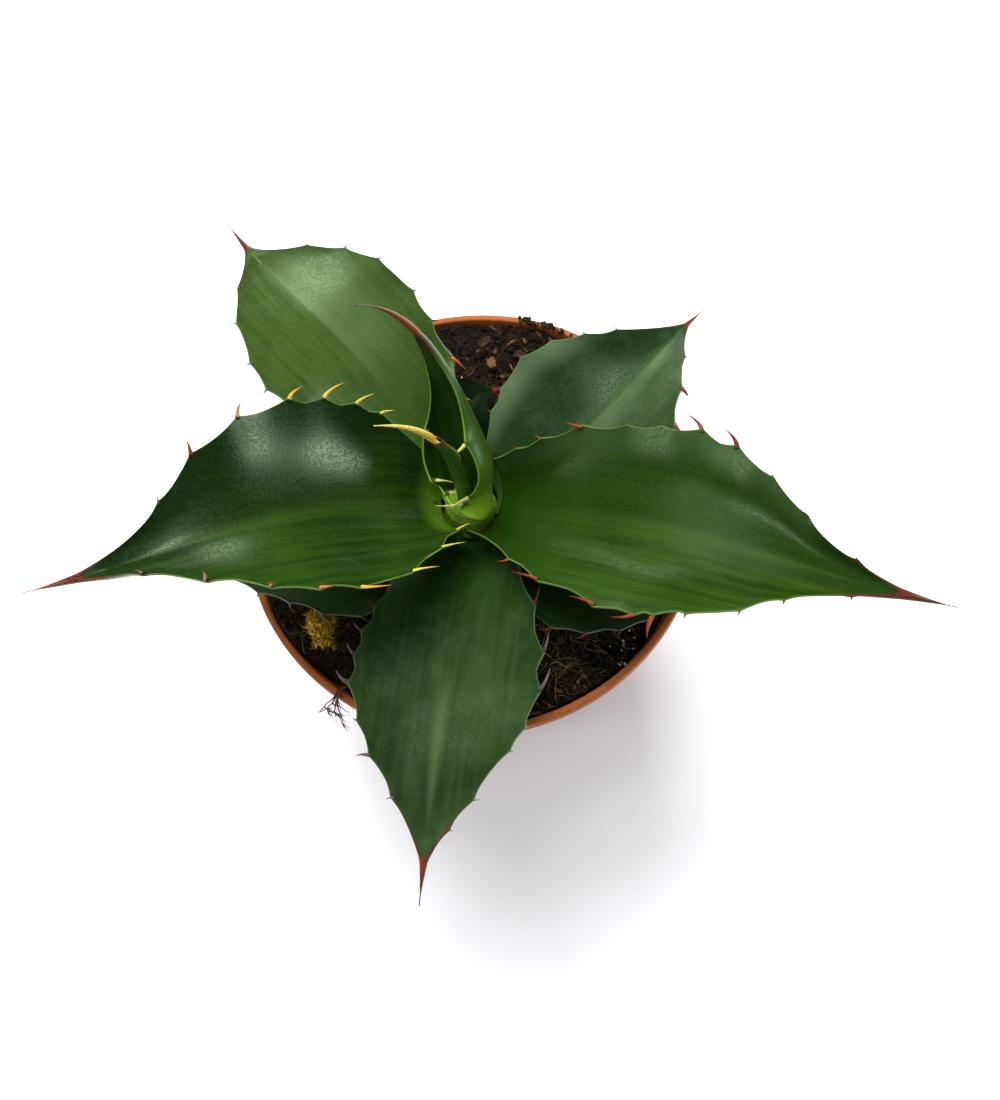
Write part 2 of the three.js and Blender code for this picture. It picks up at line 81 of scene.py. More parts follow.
def ease(values: Sequence[float], x: float) -> float:
    """Interpolates evenly spaced values smoothly.

    Args:
        values: The values, the first at x = 0 and the last at x = 1.
        x: The place between them.

    Returns:
        The value at x.
    """
    last = len(values) - 1
    place = min(max(x, 0.0), 1.0) * last
    i = min(int(place), last - 1)
    f = place - i
    a, b, c, d = (values[min(max(k, 0), last)] for k in (i - 1, i, i + 1, i + 2))
    return b + 0.5 * f * (c - a + f * (2 * a - 5 * b + 4 * c - d + f * (3 * (b - c) + d - a)))


def bezier(points: Sequence[Vector], t: float) -> Vector:
    """Returns the point at t of a cubic curve with four control points.

    Args:
        points: The control points.
        t: The place along the curve, from 0 to 1.

    Returns:
        The point.
    """
    a, b, c, d = points
    s = 1.0 - t
    return a * s**3 + b * (3 * s * s * t) + c * (3 * s * t * t) + d * t**3


def bezier_slope(points: Sequence[Vector], t: float) -> Vector:
    """Returns the unit tangent at t of a cubic curve with four control points.

    Args:
        points: The control points.
        t: The place along the curve, from 0 to 1.

    Returns:
        The unit tangent.
    """
    a, b, c, d = points
    s = 1.0 - t
    return ((b - a) * (s * s) + (c - b) * (2 * s * t) + (d - c) * (t * t)).normalized()


def through(points: Sequence[Vector], t: float) -> Vector:
    """Returns the point at t of a smooth curve through evenly spaced points."""
    return Vector([ease([p[axis] for p in points], t) for axis in range(3)])


# ---------------------------------------------------------------- node graphs


class Graph:
    """Adds, sets and links the nodes of one node tree."""

    def __init__(self, tree: bpy.types.NodeTree) -> None:
        """Keeps the tree that the nodes go into."""
        self.tree = tree

    def add(self, kind: str, **settings: object) -> bpy.types.Node:
        """Adds a node of a kind and sets its properties.

        Args:
            kind: The name of the node type.
            settings: Its properties by name.

        Returns:
            The node.
        """
        node = self.tree.nodes.new(kind)
        for name, value in settings.items():
            setattr(node, name, value)
        return node

    def feed(self, socket: Socket, source: object) -> None:
        """Links a socket to a source, or gives it a plain value.

        Args:
            socket: The input to fill.
            source: An output socket, a number, a colour or a vector.
        """
        if isinstance(source, Socket):
            self.tree.links.new(source, socket)
        elif isinstance(source, tuple) and len(socket.default_value) == 4:
            socket.default_value = (*source[:3], 1.0)
        else:
            socket.default_value = source

    def fill(self, node: bpy.types.Node, **sources: object) -> None:
        """Feeds the inputs of a node by their names in small letters.

        Args:
            node: The node to fill.
            sources: What each input gets, by name.
        """
        sockets = {socket.name.lower().replace(" ", "_"): socket for socket in node.inputs}
        for name, source in sources.items():
            self.feed(sockets[name], source)

    def math(self, operation: str, a: object, b: object = 0.0) -> Socket:
        """Returns the result of a calculation on one or two numbers.

        Args:
            operation: What a Math node calls the calculation.
            a: The first number.
            b: The second number.

        Returns:
            The result.
        """
        node = self.add("ShaderNodeMath", operation=operation)
        self.feed(node.inputs[0], a)
        self.feed(node.inputs[1], b)
        return node.outputs[0]

    def times(self, first: object, *others: object) -> Socket:
        """Returns the product of numbers.

        Args:
            first: The first number.
            others: What it is multiplied by.

        Returns:
            The product.
        """
        for other in others:
            first = self.math("MULTIPLY", first, other)
        return first

    def plus(self, a: object, b: object) -> Socket:
        """Returns the sum of two numbers."""
        return self.math("ADD", a, b)

    def blend(self, share: object, a: object, b: object) -> Socket:
        """Returns colour a with a share of colour b over it.

        Args:
            share: How much of colour b shows, from 0 to 1.
            a: The colour below.
            b: The colour above.

        Returns:
            The blended colour.
        """
        node = self.add("ShaderNodeMix", data_type="RGBA", blend_type="MIX")
        self.feed(node.inputs[0], share)
        self.feed(node.inputs[6], a)
        self.feed(node.inputs[7], b)
        return node.outputs[2]

    def layers(self, colour: object, *layers: tuple[object, object]) -> Socket:
        """Returns a colour under layers, each of them a share and a colour.

        Args:
            colour: The lowest colour.
            layers: The share and the colour of each layer, from the lowest up.

        Returns:
            The layered colour.
        """
        for share, over in layers:
            colour = self.blend(share, colour, over)
        return colour

    def step(self, value: object, low: float, high: float, bottom: float = 0.0, top: float = 1.0) -> Socket:
        """Returns bottom where the value is low, top where it is high, and a smooth step between.

        Args:
            value: The number that is compared.
            low: Where the step starts.
            high: Where the step ends.
            bottom: The result at the start.
            top: The result at the end.

        Returns:
            The result.
        """
        node = self.add("ShaderNodeMapRange", interpolation_type="SMOOTHSTEP")
        for socket, source in zip(node.inputs, (value, low, high, bottom, top)):
            self.feed(socket, source)
        return node.outputs[0]

    def ramp(self, value: object, stops: Sequence[tuple[float, Colour]]) -> Socket:
        """Returns the colour that a ramp of stops gives a value.

        Args:
            value: The place on the ramp, from 0 to 1.
            stops: The place and the colour of each stop, in order.

        Returns:
            The colour.
        """
        node = self.add("ShaderNodeValToRGB")
        self.feed(node.inputs[0], value)
        elements = node.color_ramp.elements
        for index, (place, colour) in enumerate(stops):
            element = elements[index] if index < 2 else elements.new(place)
            element.position = place
            element.color = (*colour, 1.0)
        return node.outputs[0]

    def noise(self, place: object, scale: object, detail: float = 3.0, rough: float = 0.55) -> Socket:
        """Returns fractal noise around 0.5.

        Args:
            place: The coordinates.
            scale: How fine the noise is.
            detail: How many finer layers it has.
            rough: How strong the finer layers are.

        Returns:
            The noise.
        """
        node = self.add("ShaderNodeTexNoise")
        self.fill(node, vector=place, scale=scale, detail=detail, roughness=rough)
        return node.outputs["Fac"]

    def cells(self, place: object, scale: object) -> Socket:
        """Returns the distance to the middle of the nearest cell.

        Args:
            place: The coordinates.
            scale: How fine the cells are.

        Returns:
            The distance.
        """
        node = self.add("ShaderNodeTexVoronoi")
        self.fill(node, vector=place, scale=scale)
        return node.outputs["Distance"]

    def mark(self, name: str, output: str = "Fac") -> Socket:
        """Returns an attribute of the mesh."""
        return self.add("ShaderNodeAttribute", attribute_name=name).outputs[output]

    def place(self) -> Socket:
        """Returns the object coordinates."""
        return self.add("ShaderNodeTexCoord").outputs["Object"]

    def height(self) -> Socket:
        """Returns the height above the ground in object coordinates.

        Returns:
            The height in metres.
        """
        node = self.add("ShaderNodeSeparateXYZ")
        self.feed(node.inputs[0], self.place())
        return node.outputs["Z"]

    def stretch(self, vector: object, scale: Triple) -> Socket:
        """Returns a vector scaled along each axis.

        Args:
            vector: The coordinates.
            scale: The factor along each axis.

        Returns:
            The scaled coordinates.
        """
        node = self.add("ShaderNodeMapping")
        self.fill(node, vector=vector, scale=scale)
        return node.outputs[0]

    def bump(self, height: object, depth: float, strength: float = 1.0) -> Socket:
        """Returns the normal that a height in units of depth gives.

        Args:
            height: The height map.
            depth: The depth of its whole range, in metres.
            strength: How much it turns the normal.

        Returns:
            The normal.
        """
        node = self.add("ShaderNodeBump")
        self.fill(node, strength=strength, distance=depth, height=height)
        return node.outputs[0]

    def group(self, tree: bpy.types.NodeTree, **sources: object) -> bpy.types.Node:
        """Places a node group and feeds its inputs by name.

        Args:
            tree: The node tree of the group.
            sources: What each input gets, by name.

        Returns:
            The group node.
        """
        node = self.add("ShaderNodeGroup", node_tree=tree)
        self.fill(node, **sources)
        return node


def new_group(name: str, inputs: dict[str, str], outputs: dict[str, str]) -> tuple[Graph, dict, dict]:
    """Starts a shader node group.

    Args:
        name: The group's name.
        inputs: The kind of each input by name, such as Float or Vector.
        outputs: The kind of each output by name.

    Returns:
        The graph, the sockets that give the inputs and the sockets that take the outputs.
    """
    tree = bpy.data.node_groups.new(name, "ShaderNodeTree")
    for way, sockets in (("INPUT", inputs), ("OUTPUT", outputs)):
        for label, kind in sockets.items():
            tree.interface.new_socket(name=label, in_out=way, socket_type=f"NodeSocket{kind}")
    source = tree.nodes.new("NodeGroupInput")
    target = tree.nodes.new("NodeGroupOutput")
    return (
        Graph(tree),
        {label: source.outputs[label] for label in inputs},
        {label: target.inputs[label] for label in outputs},
    )


@lru_cache(maxsize=None)
def leathery_grain() -> bpy.types.NodeTree:
    """Builds the fine grain of waxy leaf skin: a height and a mottling.

    Returns:
        The group, with the outputs Height and Mottle.
    """
    graph, given, out = new_group(
        "leathery_grain", {"Vector": "Vector", "Scale": "Float"}, {"Height": "Float", "Mottle": "Float"}
    )
    soft = graph.noise(given["Vector"], given["Scale"], 4.0, 0.5)
    pits = graph.cells(given["Vector"], graph.times(given["Scale"], 1.7))
    graph.feed(out["Height"], graph.plus(soft, graph.times(pits, 0.5)))
    graph.feed(out["Mottle"], graph.step(soft, 0.38, 0.66))
    return graph.tree


@lru_cache(maxsize=None)
def earth_dust() -> bpy.types.NodeTree:
    """Builds the patchy mask that dust and splashed earth leave.

    Returns:
        The group, with the output Mask.
    """
    graph, given, out = new_group("earth_dust", {"Vector": "Vector", "Amount": "Float"}, {"Mask": "Float"})
    cloud = graph.noise(given["Vector"], 38.0, 5.0, 0.65)
    spots = graph.noise(given["Vector"], 900.0, 2.0, 0.6)
    both = graph.plus(graph.times(cloud, 0.62), graph.times(spots, 0.38))
    lifted = graph.plus(both, given["Amount"])
    graph.feed(out["Mask"], graph.step(lifted, 0.56, 0.78))
    return graph.tree


@lru_cache(maxsize=None)
def horn_colour() -> bpy.types.NodeTree:
    """Builds the colour of teeth and needles, from fresh yellow to old grey.

    Returns:
        The group, with the output Color.
    """
    graph, given, out = new_group("horn_colour", {"Ripe": "Float"}, {"Color": "Color"})
    stops = (
        (0.0, (0.52, 0.56, 0.17)),
        (0.18, (0.60, 0.46, 0.06)),
        (0.36, (0.62, 0.25, 0.03)),
        (0.52, (0.40, 0.072, 0.012)),
        (0.68, (0.15, 0.018, 0.010)),
        (0.84, (0.045, 0.012, 0.010)),
        (1.0, (0.16, 0.14, 0.14)),
    )
    graph.feed(out["Color"], graph.ramp(given["Ripe"], stops))
    return graph.tree


# ---------------------------------------------------------------- finishes


class Finish:
    """A surface that can be made into a material."""

    def build(self, name: str) -> Material:
        """Builds a material with the name given.

        Args:
            name: The name of the material.

        Returns:
            The material.
        """
        material = bpy.data.materials.new(name)
        material.use_nodes = True
        graph = Graph(material.node_tree)
        graph.fill(graph.tree.nodes["Principled BSDF"], **self.paint(graph))
        return material

    def paint(self, graph: Graph) -> dict[str, object]:
        """Returns what the inputs of the Principled shader get, by name."""
        raise NotImplementedError


@dataclass(frozen=True)
class LeafFinish(Finish):
    """Colours and gloss of one kind of leaf tissue, with the painted shade and painted highlights that it
    lays on the blade.
    """

    deep: Colour
    fresh: Colour
    base: Colour
    tip: Colour
    bloom: Colour
    bloom_share: float
    roughness: float
    under: Colour = (0.022, 0.050, 0.010)
    margin: Colour = (0.13, 0.20, 0.035)
    border: Colour = (0.070, 0.014, 0.008)
    # painted shade: which half of the blade, by the sign of across, is darkened toward the deep colour; 0 for
    # none
    painted_shade_side: float = 0.0
    base_reach: float = 0.36
    outside_reach: float = 0.36
    # painted highlight: a lighter band on one flank beside the midrib, its side by the sign of across, and
    # how far out it reaches
    flank_highlight_side: float = 0.0
    flank_highlight_reach: float = 0.85
    # painted highlight: a lighter band along one margin on the inner half of the blade, its side by the sign
    # of across
    hem_highlight_side: float = 0.0
    # painted highlight: a lighter streak along the midrib, its strength, where it starts along the blade and
    # its colour
    rib_highlight_share: float = 0.22
    rib_highlight_start: float = 0.0
    rib_highlight: Colour = (0.03, 0.07, 0.01)
    # painted highlight: the colour of the lighter bands by the midrib and along a margin
    painted_highlight: Colour = (0.10, 0.165, 0.062)
    gloss: float = 0.5

    def tissue(self, graph: Graph, along: object, across: object) -> object:
        """Returns the colour of the blade's skin from its base to its tip, with painted shade on one half and
        painted highlights by the midrib and along a margin.

        Args:
            graph: The material's graph.
            along: The place from the base, 0, to the tip of the blade, 1.
            across: The place from one margin, -1, to the other, 1.

        Returns:
            The colour socket.
        """
        grain = graph.mark("grain", "Vector")
        place = graph.place()
        streaks = graph.noise(graph.stretch(grain, (420.0, 16.0, 1.0)), 1.0, 4.0, 0.6)
        clouds = graph.noise(place, 34.0, 3.0, 0.5)
        share = graph.plus(graph.times(streaks, 0.55), graph.times(clouds, 0.45))
        # painted shade: darkens one half of the blade toward the deep colour
        painted_shade = graph.step(graph.times(across, self.painted_shade_side), -0.02, 0.10, 0.0, 0.75)
        # painted highlight: a lighter band on one flank beside the midrib, fading toward the margin
        flank = graph.times(across, self.flank_highlight_side)
        pale = graph.times(
            graph.step(flank, 0.0, 0.07, 0.0, 0.62),
            graph.step(flank, self.flank_highlight_reach, 0.35 * self.flank_highlight_reach, 0.2, 1.0),
            graph.step(along, 0.22, 0.55), graph.step(along, 0.98, 0.82),
            graph.step(clouds, 0.25, 0.62, 0.45, 1.0),
        )
        # painted highlight: a lighter band along one margin, fading out toward the tip
        hem_highlight = graph.times(
            graph.step(graph.times(across, self.hem_highlight_side), 0.62, 0.95, 0.0, 0.75),
            graph.step(along, 0.85, 0.5), graph.step(clouds, 0.25, 0.6, 0.4, 1.0),
        )
        # painted highlight: a lighter streak along the midrib
        middle = graph.plus(graph.math("ABSOLUTE", across), graph.times(streaks, 0.12))
        rib_highlight_mask = graph.times(
            graph.step(middle, 0.20, 0.05), graph.step(along, self.rib_highlight_start, self.rib_highlight_start + 0.25),
            graph.step(along, 0.97, 0.75, 0.0, self.rib_highlight_share),
        )
        wax = graph.noise(place, 120.0, 6.0, 0.7)
        return graph.layers(
            self.deep,
            (graph.step(share, 0.36, 0.66), self.fresh),
            (graph.step(along, self.base_reach, 0.02), self.base),
            (graph.step(along, 0.74, 1.02, 0.0, 0.75), self.tip),
            # painted shade over one half of the blade
            (graph.times(painted_shade, graph.step(along, 0.05, 0.3)), self.deep),
            # painted highlight on one flank
            (pale, self.painted_highlight),
            # painted highlight along one margin
            (hem_highlight, self.painted_highlight),
            # painted highlight along the midrib
            (rib_highlight_mask, self.rib_highlight),
            (graph.times(graph.step(wax, 0.40, 0.72), self.bloom_share), self.bloom),
            (graph.step(graph.cells(place, 620.0), 0.16, 0.07, 0.0, 0.30), self.bloom),
        )

    def paint(self, graph: Graph) -> dict[str, object]:
        """Paints the skin with its margins, teeth and needle.

        Args:
            graph: The material's graph.

        Returns:
            A number, a colour or a socket for each input.
        """
        along = graph.mark("along")
        edge = graph.mark("edge")
        grain = graph.group(leathery_grain(), vector=graph.place(), scale=1250.0)
        mottle = grain.outputs["Mottle"]
        under = graph.blend(graph.step(along, self.outside_reach, 0.02), self.under, self.base)
        streaks = graph.noise(graph.place(), 1500.0, 2.0)
        tint = graph.group(horn_colour(), ripe=graph.mark("ripe")).outputs["Color"]
        tint = graph.blend(graph.step(streaks, 0.35, 0.7, 0.0, 0.35), tint, (0.05, 0.012, 0.006))
        colour = graph.layers(
            self.tissue(graph, along, graph.mark("across")),
            (graph.times(mottle, 0.10), self.fresh),
            (graph.mark("under"), under),
            (graph.step(edge, 0.36, 0.06, 0.0, 0.6), self.margin),
            (graph.times(graph.step(edge, 1.0, 0.25), graph.step(along, 0.76, 0.92)), self.border),
            (graph.step(graph.mark("horn"), 0.0, 0.10), tint),
        )
        lengthwise = graph.noise(graph.stretch(graph.mark("grain", "Vector"), (1500.0, 70.0, 1.0)), 1.0, 2.0)
        relief = graph.plus(grain.outputs["Height"], graph.times(lengthwise, 0.8))
        return {
            "base_color": colour,
            "roughness": graph.step(mottle, 0.0, 1.0, self.roughness - 0.05, self.roughness + 0.07),
            "specular_ior_level": self.gloss,
            "specular_tint": (0.68, 1.0, 0.60),
            "normal": graph.bump(relief, 0.00005, 0.5),
        }


class LeafTone(Enum):
    """The kinds of leaf tissue, by where the leaf stands in the rosette; the two darkest are copies that
    paint the shade on the low leaves.
    """

    HEART = LeafFinish(
        deep=(0.007, 0.028, 0.0015), fresh=(0.024, 0.074, 0.004), base=(0.17, 0.34, 0.012),
        tip=(0.012, 0.032, 0.006), bloom=(0.06, 0.12, 0.03), bloom_share=0.06, roughness=0.34,
        under=(0.02, 0.062, 0.005), margin=(0.22, 0.36, 0.03),
        base_reach=0.18, outside_reach=0.5,
    )
    # painted shade on one half of the blade
    LEFT = LeafFinish(
        deep=(0.0035, 0.0155, 0.0012), fresh=(0.015, 0.046, 0.0022), base=(0.06, 0.145, 0.006),
        tip=(0.006, 0.021, 0.0025), bloom=(0.035, 0.08, 0.02), bloom_share=0.06, roughness=0.31,
        painted_shade_side=-1.0, base_reach=0.085, gloss=0.8,
    )
    # painted shade on one half of the blade and a painted highlight along one margin
    RIGHT = LeafFinish(
        deep=(0.006, 0.024, 0.0012), fresh=(0.02, 0.054, 0.003), base=(0.007, 0.029, 0.0008),
        tip=(0.0085, 0.023, 0.0045), bloom=(0.045, 0.085, 0.025), bloom_share=0.05, roughness=0.33,
        painted_shade_side=1.0, gloss=0.36, painted_highlight=(0.04, 0.088, 0.026), hem_highlight_side=1.0,
    )
    # a painted highlight band on one flank beside the midrib
    BACK = LeafFinish(
        deep=(0.018, 0.045, 0.0055), fresh=(0.04, 0.08, 0.01), base=(0.022, 0.056, 0.006),
        tip=(0.024, 0.048, 0.01), bloom=(0.09, 0.14, 0.06), bloom_share=0.16, roughness=0.31,
        gloss=0.6, flank_highlight_side=-1.0,
    )
    # painted shade: a darker copy of the back tone, darkest on one half, with a narrow painted highlight band
    # by the midrib and a painted highlight along one margin
    BACK_DARK = LeafFinish(
        deep=(0.0055, 0.023, 0.003), fresh=(0.023, 0.05, 0.011), base=(0.022, 0.056, 0.009),
        tip=(0.016, 0.042, 0.008), bloom=(0.07, 0.12, 0.07), bloom_share=0.16, roughness=0.37,
        painted_shade_side=1.0, gloss=0.6, flank_highlight_side=-1.0, painted_highlight=(0.092, 0.15, 0.07),
        flank_highlight_reach=0.42, hem_highlight_side=1.0,
    )
    # a strong painted highlight streak along the outer part of the midrib
    FRONT = LeafFinish(
        deep=(0.0048, 0.0155, 0.0022), fresh=(0.014, 0.035, 0.006), base=(0.0095, 0.036, 0.0025),
        tip=(0.03, 0.058, 0.016), bloom=(0.05, 0.08, 0.04), bloom_share=0.2, roughness=0.42,
        gloss=0.26, margin=(0.09, 0.14, 0.04), rib_highlight_share=0.42, rib_highlight_start=0.4, rib_highlight=(0.07, 0.115, 0.04),
    )
    # painted shade: a near-black copy for the low back leaf in deep shade
    DEEP_SHADE = LeafFinish(
        deep=(0.0012, 0.004, 0.001), fresh=(0.003, 0.008, 0.002), base=(0.002, 0.006, 0.001),
        tip=(0.002, 0.006, 0.002), bloom=(0.01, 0.02, 0.01), bloom_share=0.05, roughness=0.5, gloss=0.12,
        margin=(0.03, 0.05, 0.02), border=(0.02, 0.006, 0.004),
    )
    # painted shade: a darker copy for the low leaves under the others
    SHADED = LeafFinish(
        deep=(0.0065, 0.019, 0.0045), fresh=(0.0135, 0.034, 0.008), base=(0.01, 0.028, 0.005),
        tip=(0.009, 0.022, 0.006), bloom=(0.04, 0.06, 0.04), bloom_share=0.08, roughness=0.48, gloss=0.3,
        margin=(0.1, 0.14, 0.06),
    )


@dataclass(frozen=True)
class EarthFinish(Finish):
    """Colours of loose matter, from the darkest grains to the palest by their tint."""

    stops: tuple[tuple[float, Colour], ...]
    roughness: float = 0.9
    spread: float = 0.35
    bump: float = 0.0003
    scale: float = 900.0

    def paint(self, graph: Graph) -> dict[str, object]:
        """Paints by the tint attribute, mottled by noise.

        Args:
            graph: The material's graph.

        Returns:
            A number, a colour or a socket for each input.
        """
        place = graph.place()
        speckle = graph.noise(place, self.scale, 4.0, 0.65)
        shift = graph.times(graph.math("SUBTRACT", speckle, 0.5), self.spread)
        damp = graph.noise(place, 160.0, 3.0)
        return {
            "base_color": graph.ramp(graph.plus(graph.mark("tint"), shift), self.stops),
            "roughness": graph.step(damp, 0.42, 0.62, self.roughness - 0.25, self.roughness),
            "specular_ior_level": 0.3,
            "normal": graph.bump(speckle, self.bump, 0.8),
        }


PEAT = EarthFinish(
    stops=(
        (0.0, (0.0025, 0.0016, 0.0009)),
        (0.3, (0.0095, 0.0055, 0.0026)),
        (0.55, (0.034, 0.0165, 0.0062)),
        (0.78, (0.09, 0.04, 0.012)),
        (1.0, (0.19, 0.11, 0.036)),
    ),
)
FIBRE = EarthFinish(
    stops=(
        (0.0, (0.006, 0.0035, 0.002)),
        (0.35, (0.028, 0.0135, 0.006)),
        (0.65, (0.075, 0.05, 0.018)),
        (1.0, (0.24, 0.2, 0.09)),
    ),
    roughness=0.75, spread=0.2, bump=0.0001,
)
BARK = EarthFinish(
    stops=(
        (0.0, (0.006, 0.0035, 0.002)),
        (0.4, (0.028, 0.0135, 0.0055)),
        (0.7, (0.105, 0.046, 0.012)),
        (1.0, (0.23, 0.12, 0.038)),
    ),
    roughness=0.8, spread=0.7, bump=0.0005, scale=520.0,
)
MOSS = EarthFinish(
    stops=(
        (0.0, (0.06, 0.03, 0.005)),
        (0.4, (0.4, 0.22, 0.012)),
        (0.8, (0.68, 0.44, 0.04)),
        (1.0, (0.8, 0.6, 0.14)),
    ),
    roughness=0.85, spread=0.5, bump=0.0002,
)
ROOTLET = EarthFinish(
    stops=((0.0, (0.024, 0.008, 0.002)), (0.5, (0.13, 0.044, 0.009)), (1.0, (0.34, 0.16, 0.05))),
    roughness=0.85, spread=0.5, bump=0.0002,
)
PERLITE = EarthFinish(
    stops=((0.0, (0.3, 0.28, 0.24)), (1.0, (0.78, 0.76, 0.7))), spread=0.6, bump=0.0003, scale=1500.0,
)


@dataclass(frozen=True)
class PotFinish(Finish):
    """Terracotta-coloured moulded plastic with scuffs and splashes of earth."""

    clay: Colour = (0.27, 0.076, 0.019)
    faded: Colour = (0.34, 0.104, 0.028)
    earth: Colour = (0.045, 0.022, 0.011)
    scuff: Colour = (0.42, 0.2, 0.1)
    roughness: float = 0.58

    def paint(self, graph: Graph) -> dict[str, object]:
        """Paints the plastic, dirtiest near the rim.

        Args:
            graph: The material's graph.

        Returns:
            A number, a colour or a socket for each input.
        """
        place = graph.place()
        clouds = graph.noise(place, 22.0, 4.0, 0.6)
        flow = graph.noise(graph.stretch(place, (160.0, 160.0, 9.0)), 1.0, 3.0)
        rubs = graph.noise(graph.stretch(place, (90.0, 90.0, 900.0)), 1.0, 5.0, 0.7)
        near_rim = graph.step(graph.height(), 0.096, 0.106, -0.03, 0.05)
        dirt = graph.group(earth_dust(), vector=place, amount=near_rim).outputs["Mask"]
        pebble = graph.noise(place, 1400.0, 2.0)
        colour = graph.layers(
            self.clay,
            (graph.step(clouds, 0.35, 0.68), self.faded),
            (graph.step(flow, 0.52, 0.72, 0.0, 0.25), self.faded),
            (graph.step(rubs, 0.62, 0.74, 0.0, 0.5), self.scuff),
            (graph.times(dirt, 0.8), self.earth),
        )
        return {
            "base_color": colour,
            "roughness": graph.step(dirt, 0.0, 1.0, self.roughness, 0.85),
            "specular_ior_level": 0.15,
            "normal": graph.bump(graph.plus(pebble, dirt), 0.00012, 0.5),
        }


@dataclass(frozen=True)
class StemFinish(Finish):
    """Pale stem tissue that browns where it enters the mix."""

    green: Colour = (0.2, 0.4, 0.018)
    brown: Colour = (0.075, 0.042, 0.018)

    def paint(self, graph: Graph) -> dict[str, object]:
        """Paints the stem, brown at its foot.

        Args:
            graph: The material's graph.

        Returns:
            A number, a colour or a socket for each input.
        """
        grain = graph.group(leathery_grain(), vector=graph.place(), scale=500.0)
        colour = graph.layers(
            self.green,
            (graph.step(graph.height(), 0.101, 0.09), self.brown),
            (graph.times(grain.outputs["Mottle"], 0.3), self.brown),
        )
        normal = graph.bump(grain.outputs["Height"], 0.0002)
        return {"base_color": colour, "roughness": 0.55, "normal": normal}


class FloorFinish(Finish):
    """The pale paper of the studio's floor."""

    def paint(self, graph: Graph) -> dict[str, object]:
        """Paints the paper with a faint cloudiness.

        Args:
            graph: The material's graph.

        Returns:
            A number, a colour or a socket for each input.
        """
        cloud = graph.noise(graph.place(), 6.0, 2.0)
        colour = graph.blend(cloud, (0.84, 0.872, 0.91), (0.86, 0.892, 0.93))
        return {"base_color": colour, "roughness": 0.9, "specular_ior_level": 0.1}


# ---------------------------------------------------------------- pieces


def as_mesh(bm: Solid, name: str) -> Mesh:
    """Turns a bmesh into a mesh and frees it.

    Args:
        bm: The bmesh.
        name: The name of the mesh.

    Returns:
        The mesh.
    """
    mesh = bpy.data.meshes.new(name)
    bm.to_mesh(mesh)
    bm.free()
    return mesh


def put(name: str, data: bpy.types.ID) -> Piece:
    """Puts an object with the data given into the scene.

    Args:
        name: The name of the object.
        data: Its mesh, light or camera.

    Returns:
        The object.
    """
    made = bpy.data.objects.new(name, data)
    bpy.context.scene.collection.objects.link(made)
    return made


def spun(section: Sequence[Pair], steps: int, scale: float = 1.0) -> Solid:
    """Spins a section of radius and height about Z.

    Args:
        section: The points, the first and the last of them on the axis.
        steps: How many faces go round.
        scale: What every measure is multiplied by.

    Returns:
        The closed shape.
    """
    bm = bmesh.new()
    ring = [bm.verts.new((x * scale, 0.0, z * scale)) for x, z in section]
    edges = [bm.edges.new(pair) for pair in zip(ring, ring[1:])]
    bmesh.ops.spin(
        bm, geom=ring + edges, cent=(0, 0, 0), axis=(0, 0, 1), angle=tau, steps=steps, use_merge=True
    )
    return bm


def as_piece(bm: Solid, name: str, material: Material, rounded: bool = True) -> Piece:
    """Turns a bmesh into an object in the scene.

    Args:
        bm: The mesh, which is freed.
        name: The piece's name.
        material: The piece's finish.
        rounded: Whether its faces are shaded smooth.

    Returns:
        The object.
    """
    mesh = as_mesh(bm, name)
    mesh.materials.append(material)
    mesh.polygons.foreach_set("use_smooth", [rounded] * len(mesh.polygons))
    return put(name, mesh)


def close_up(bm: Solid) -> None:
    """Turns all faces outward and goes from millimetres to metres."""
    bmesh.ops.recalc_face_normals(bm, faces=bm.faces)
    bmesh.ops.scale(bm, verts=bm.verts, vec=(MM, MM, MM))


def declare(piece: Piece, slot: str, *nodes: str) -> None:
    """Lets a piece ride on the object, in place of the nodes that it stands for.

    Args:
        piece: The piece.
        slot: The slot that its finish belongs to, which is only written to the log.
        nodes: The CAD nodes that it stands for.
    """
    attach(piece, ROOT)
    if nodes:
        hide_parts(*nodes)
    LOG.info("%s: %d faces, slot %s", piece.name, len(piece.data.polygons), slot)


def rod_template(name: str, sides: int, rings: int, point: float) -> Mesh:
    """Builds a rod of unit radius and unit length along Z, with cuts along its length.

    Args:
        name: The mesh's name.
        sides: How many sides the rod has.
        rings: How many cuts divide its length.
        point: The radius at its far end.

    Returns:
        The mesh, from Z = 0 to Z = 1.
    """
    bm = bmesh.new()
    bmesh.ops.create_cone(bm, cap_ends=True, segments=sides, radius1=1.0, radius2=point, depth=1.0)
    lengthwise = [e for e in bm.edges if abs(e.verts[0].co.z - e.verts[1].co.z) > 0.5]
    bmesh.ops.subdivide_edges(bm, edges=lengthwise, cuts=rings)
    bmesh.ops.translate(bm, verts=bm.verts, vec=(0.0, 0.0, 0.5))
    bm.verts.layers.float.new("tint")
    return as_mesh(bm, name)


def bent(template: Mesh, path: Path, breadth: float, depth: float, up: Vector) -> Mesh:
    """Lays a copy of a rod along a path.

    Args:
        template: The straight rod.
        path: Gives the middle of the rod at each place from 0 to 1.
        breadth: Half the rod's breadth at its foot.
        depth: Half the rod's depth at its foot.
        up: The direction that the depth is measured along.

    Returns:
        The bent copy.
    """
    mesh = template.copy()
    frames = {}
    for vertex in mesh.vertices:
        x, y, s = vertex.co
        key = round(s, 4)
        if key not in frames:
            ahead = (path(min(s + 0.02, 1.0)) - path(max(s - 0.02, 0.0))).normalized()
            side = up.cross(ahead).normalized()
            frames[key] = (path(s), side, ahead.cross(side))
        middle, side, over = frames[key]
        vertex.co = middle + side * (x * breadth) + over * (y * depth)
    return mesh


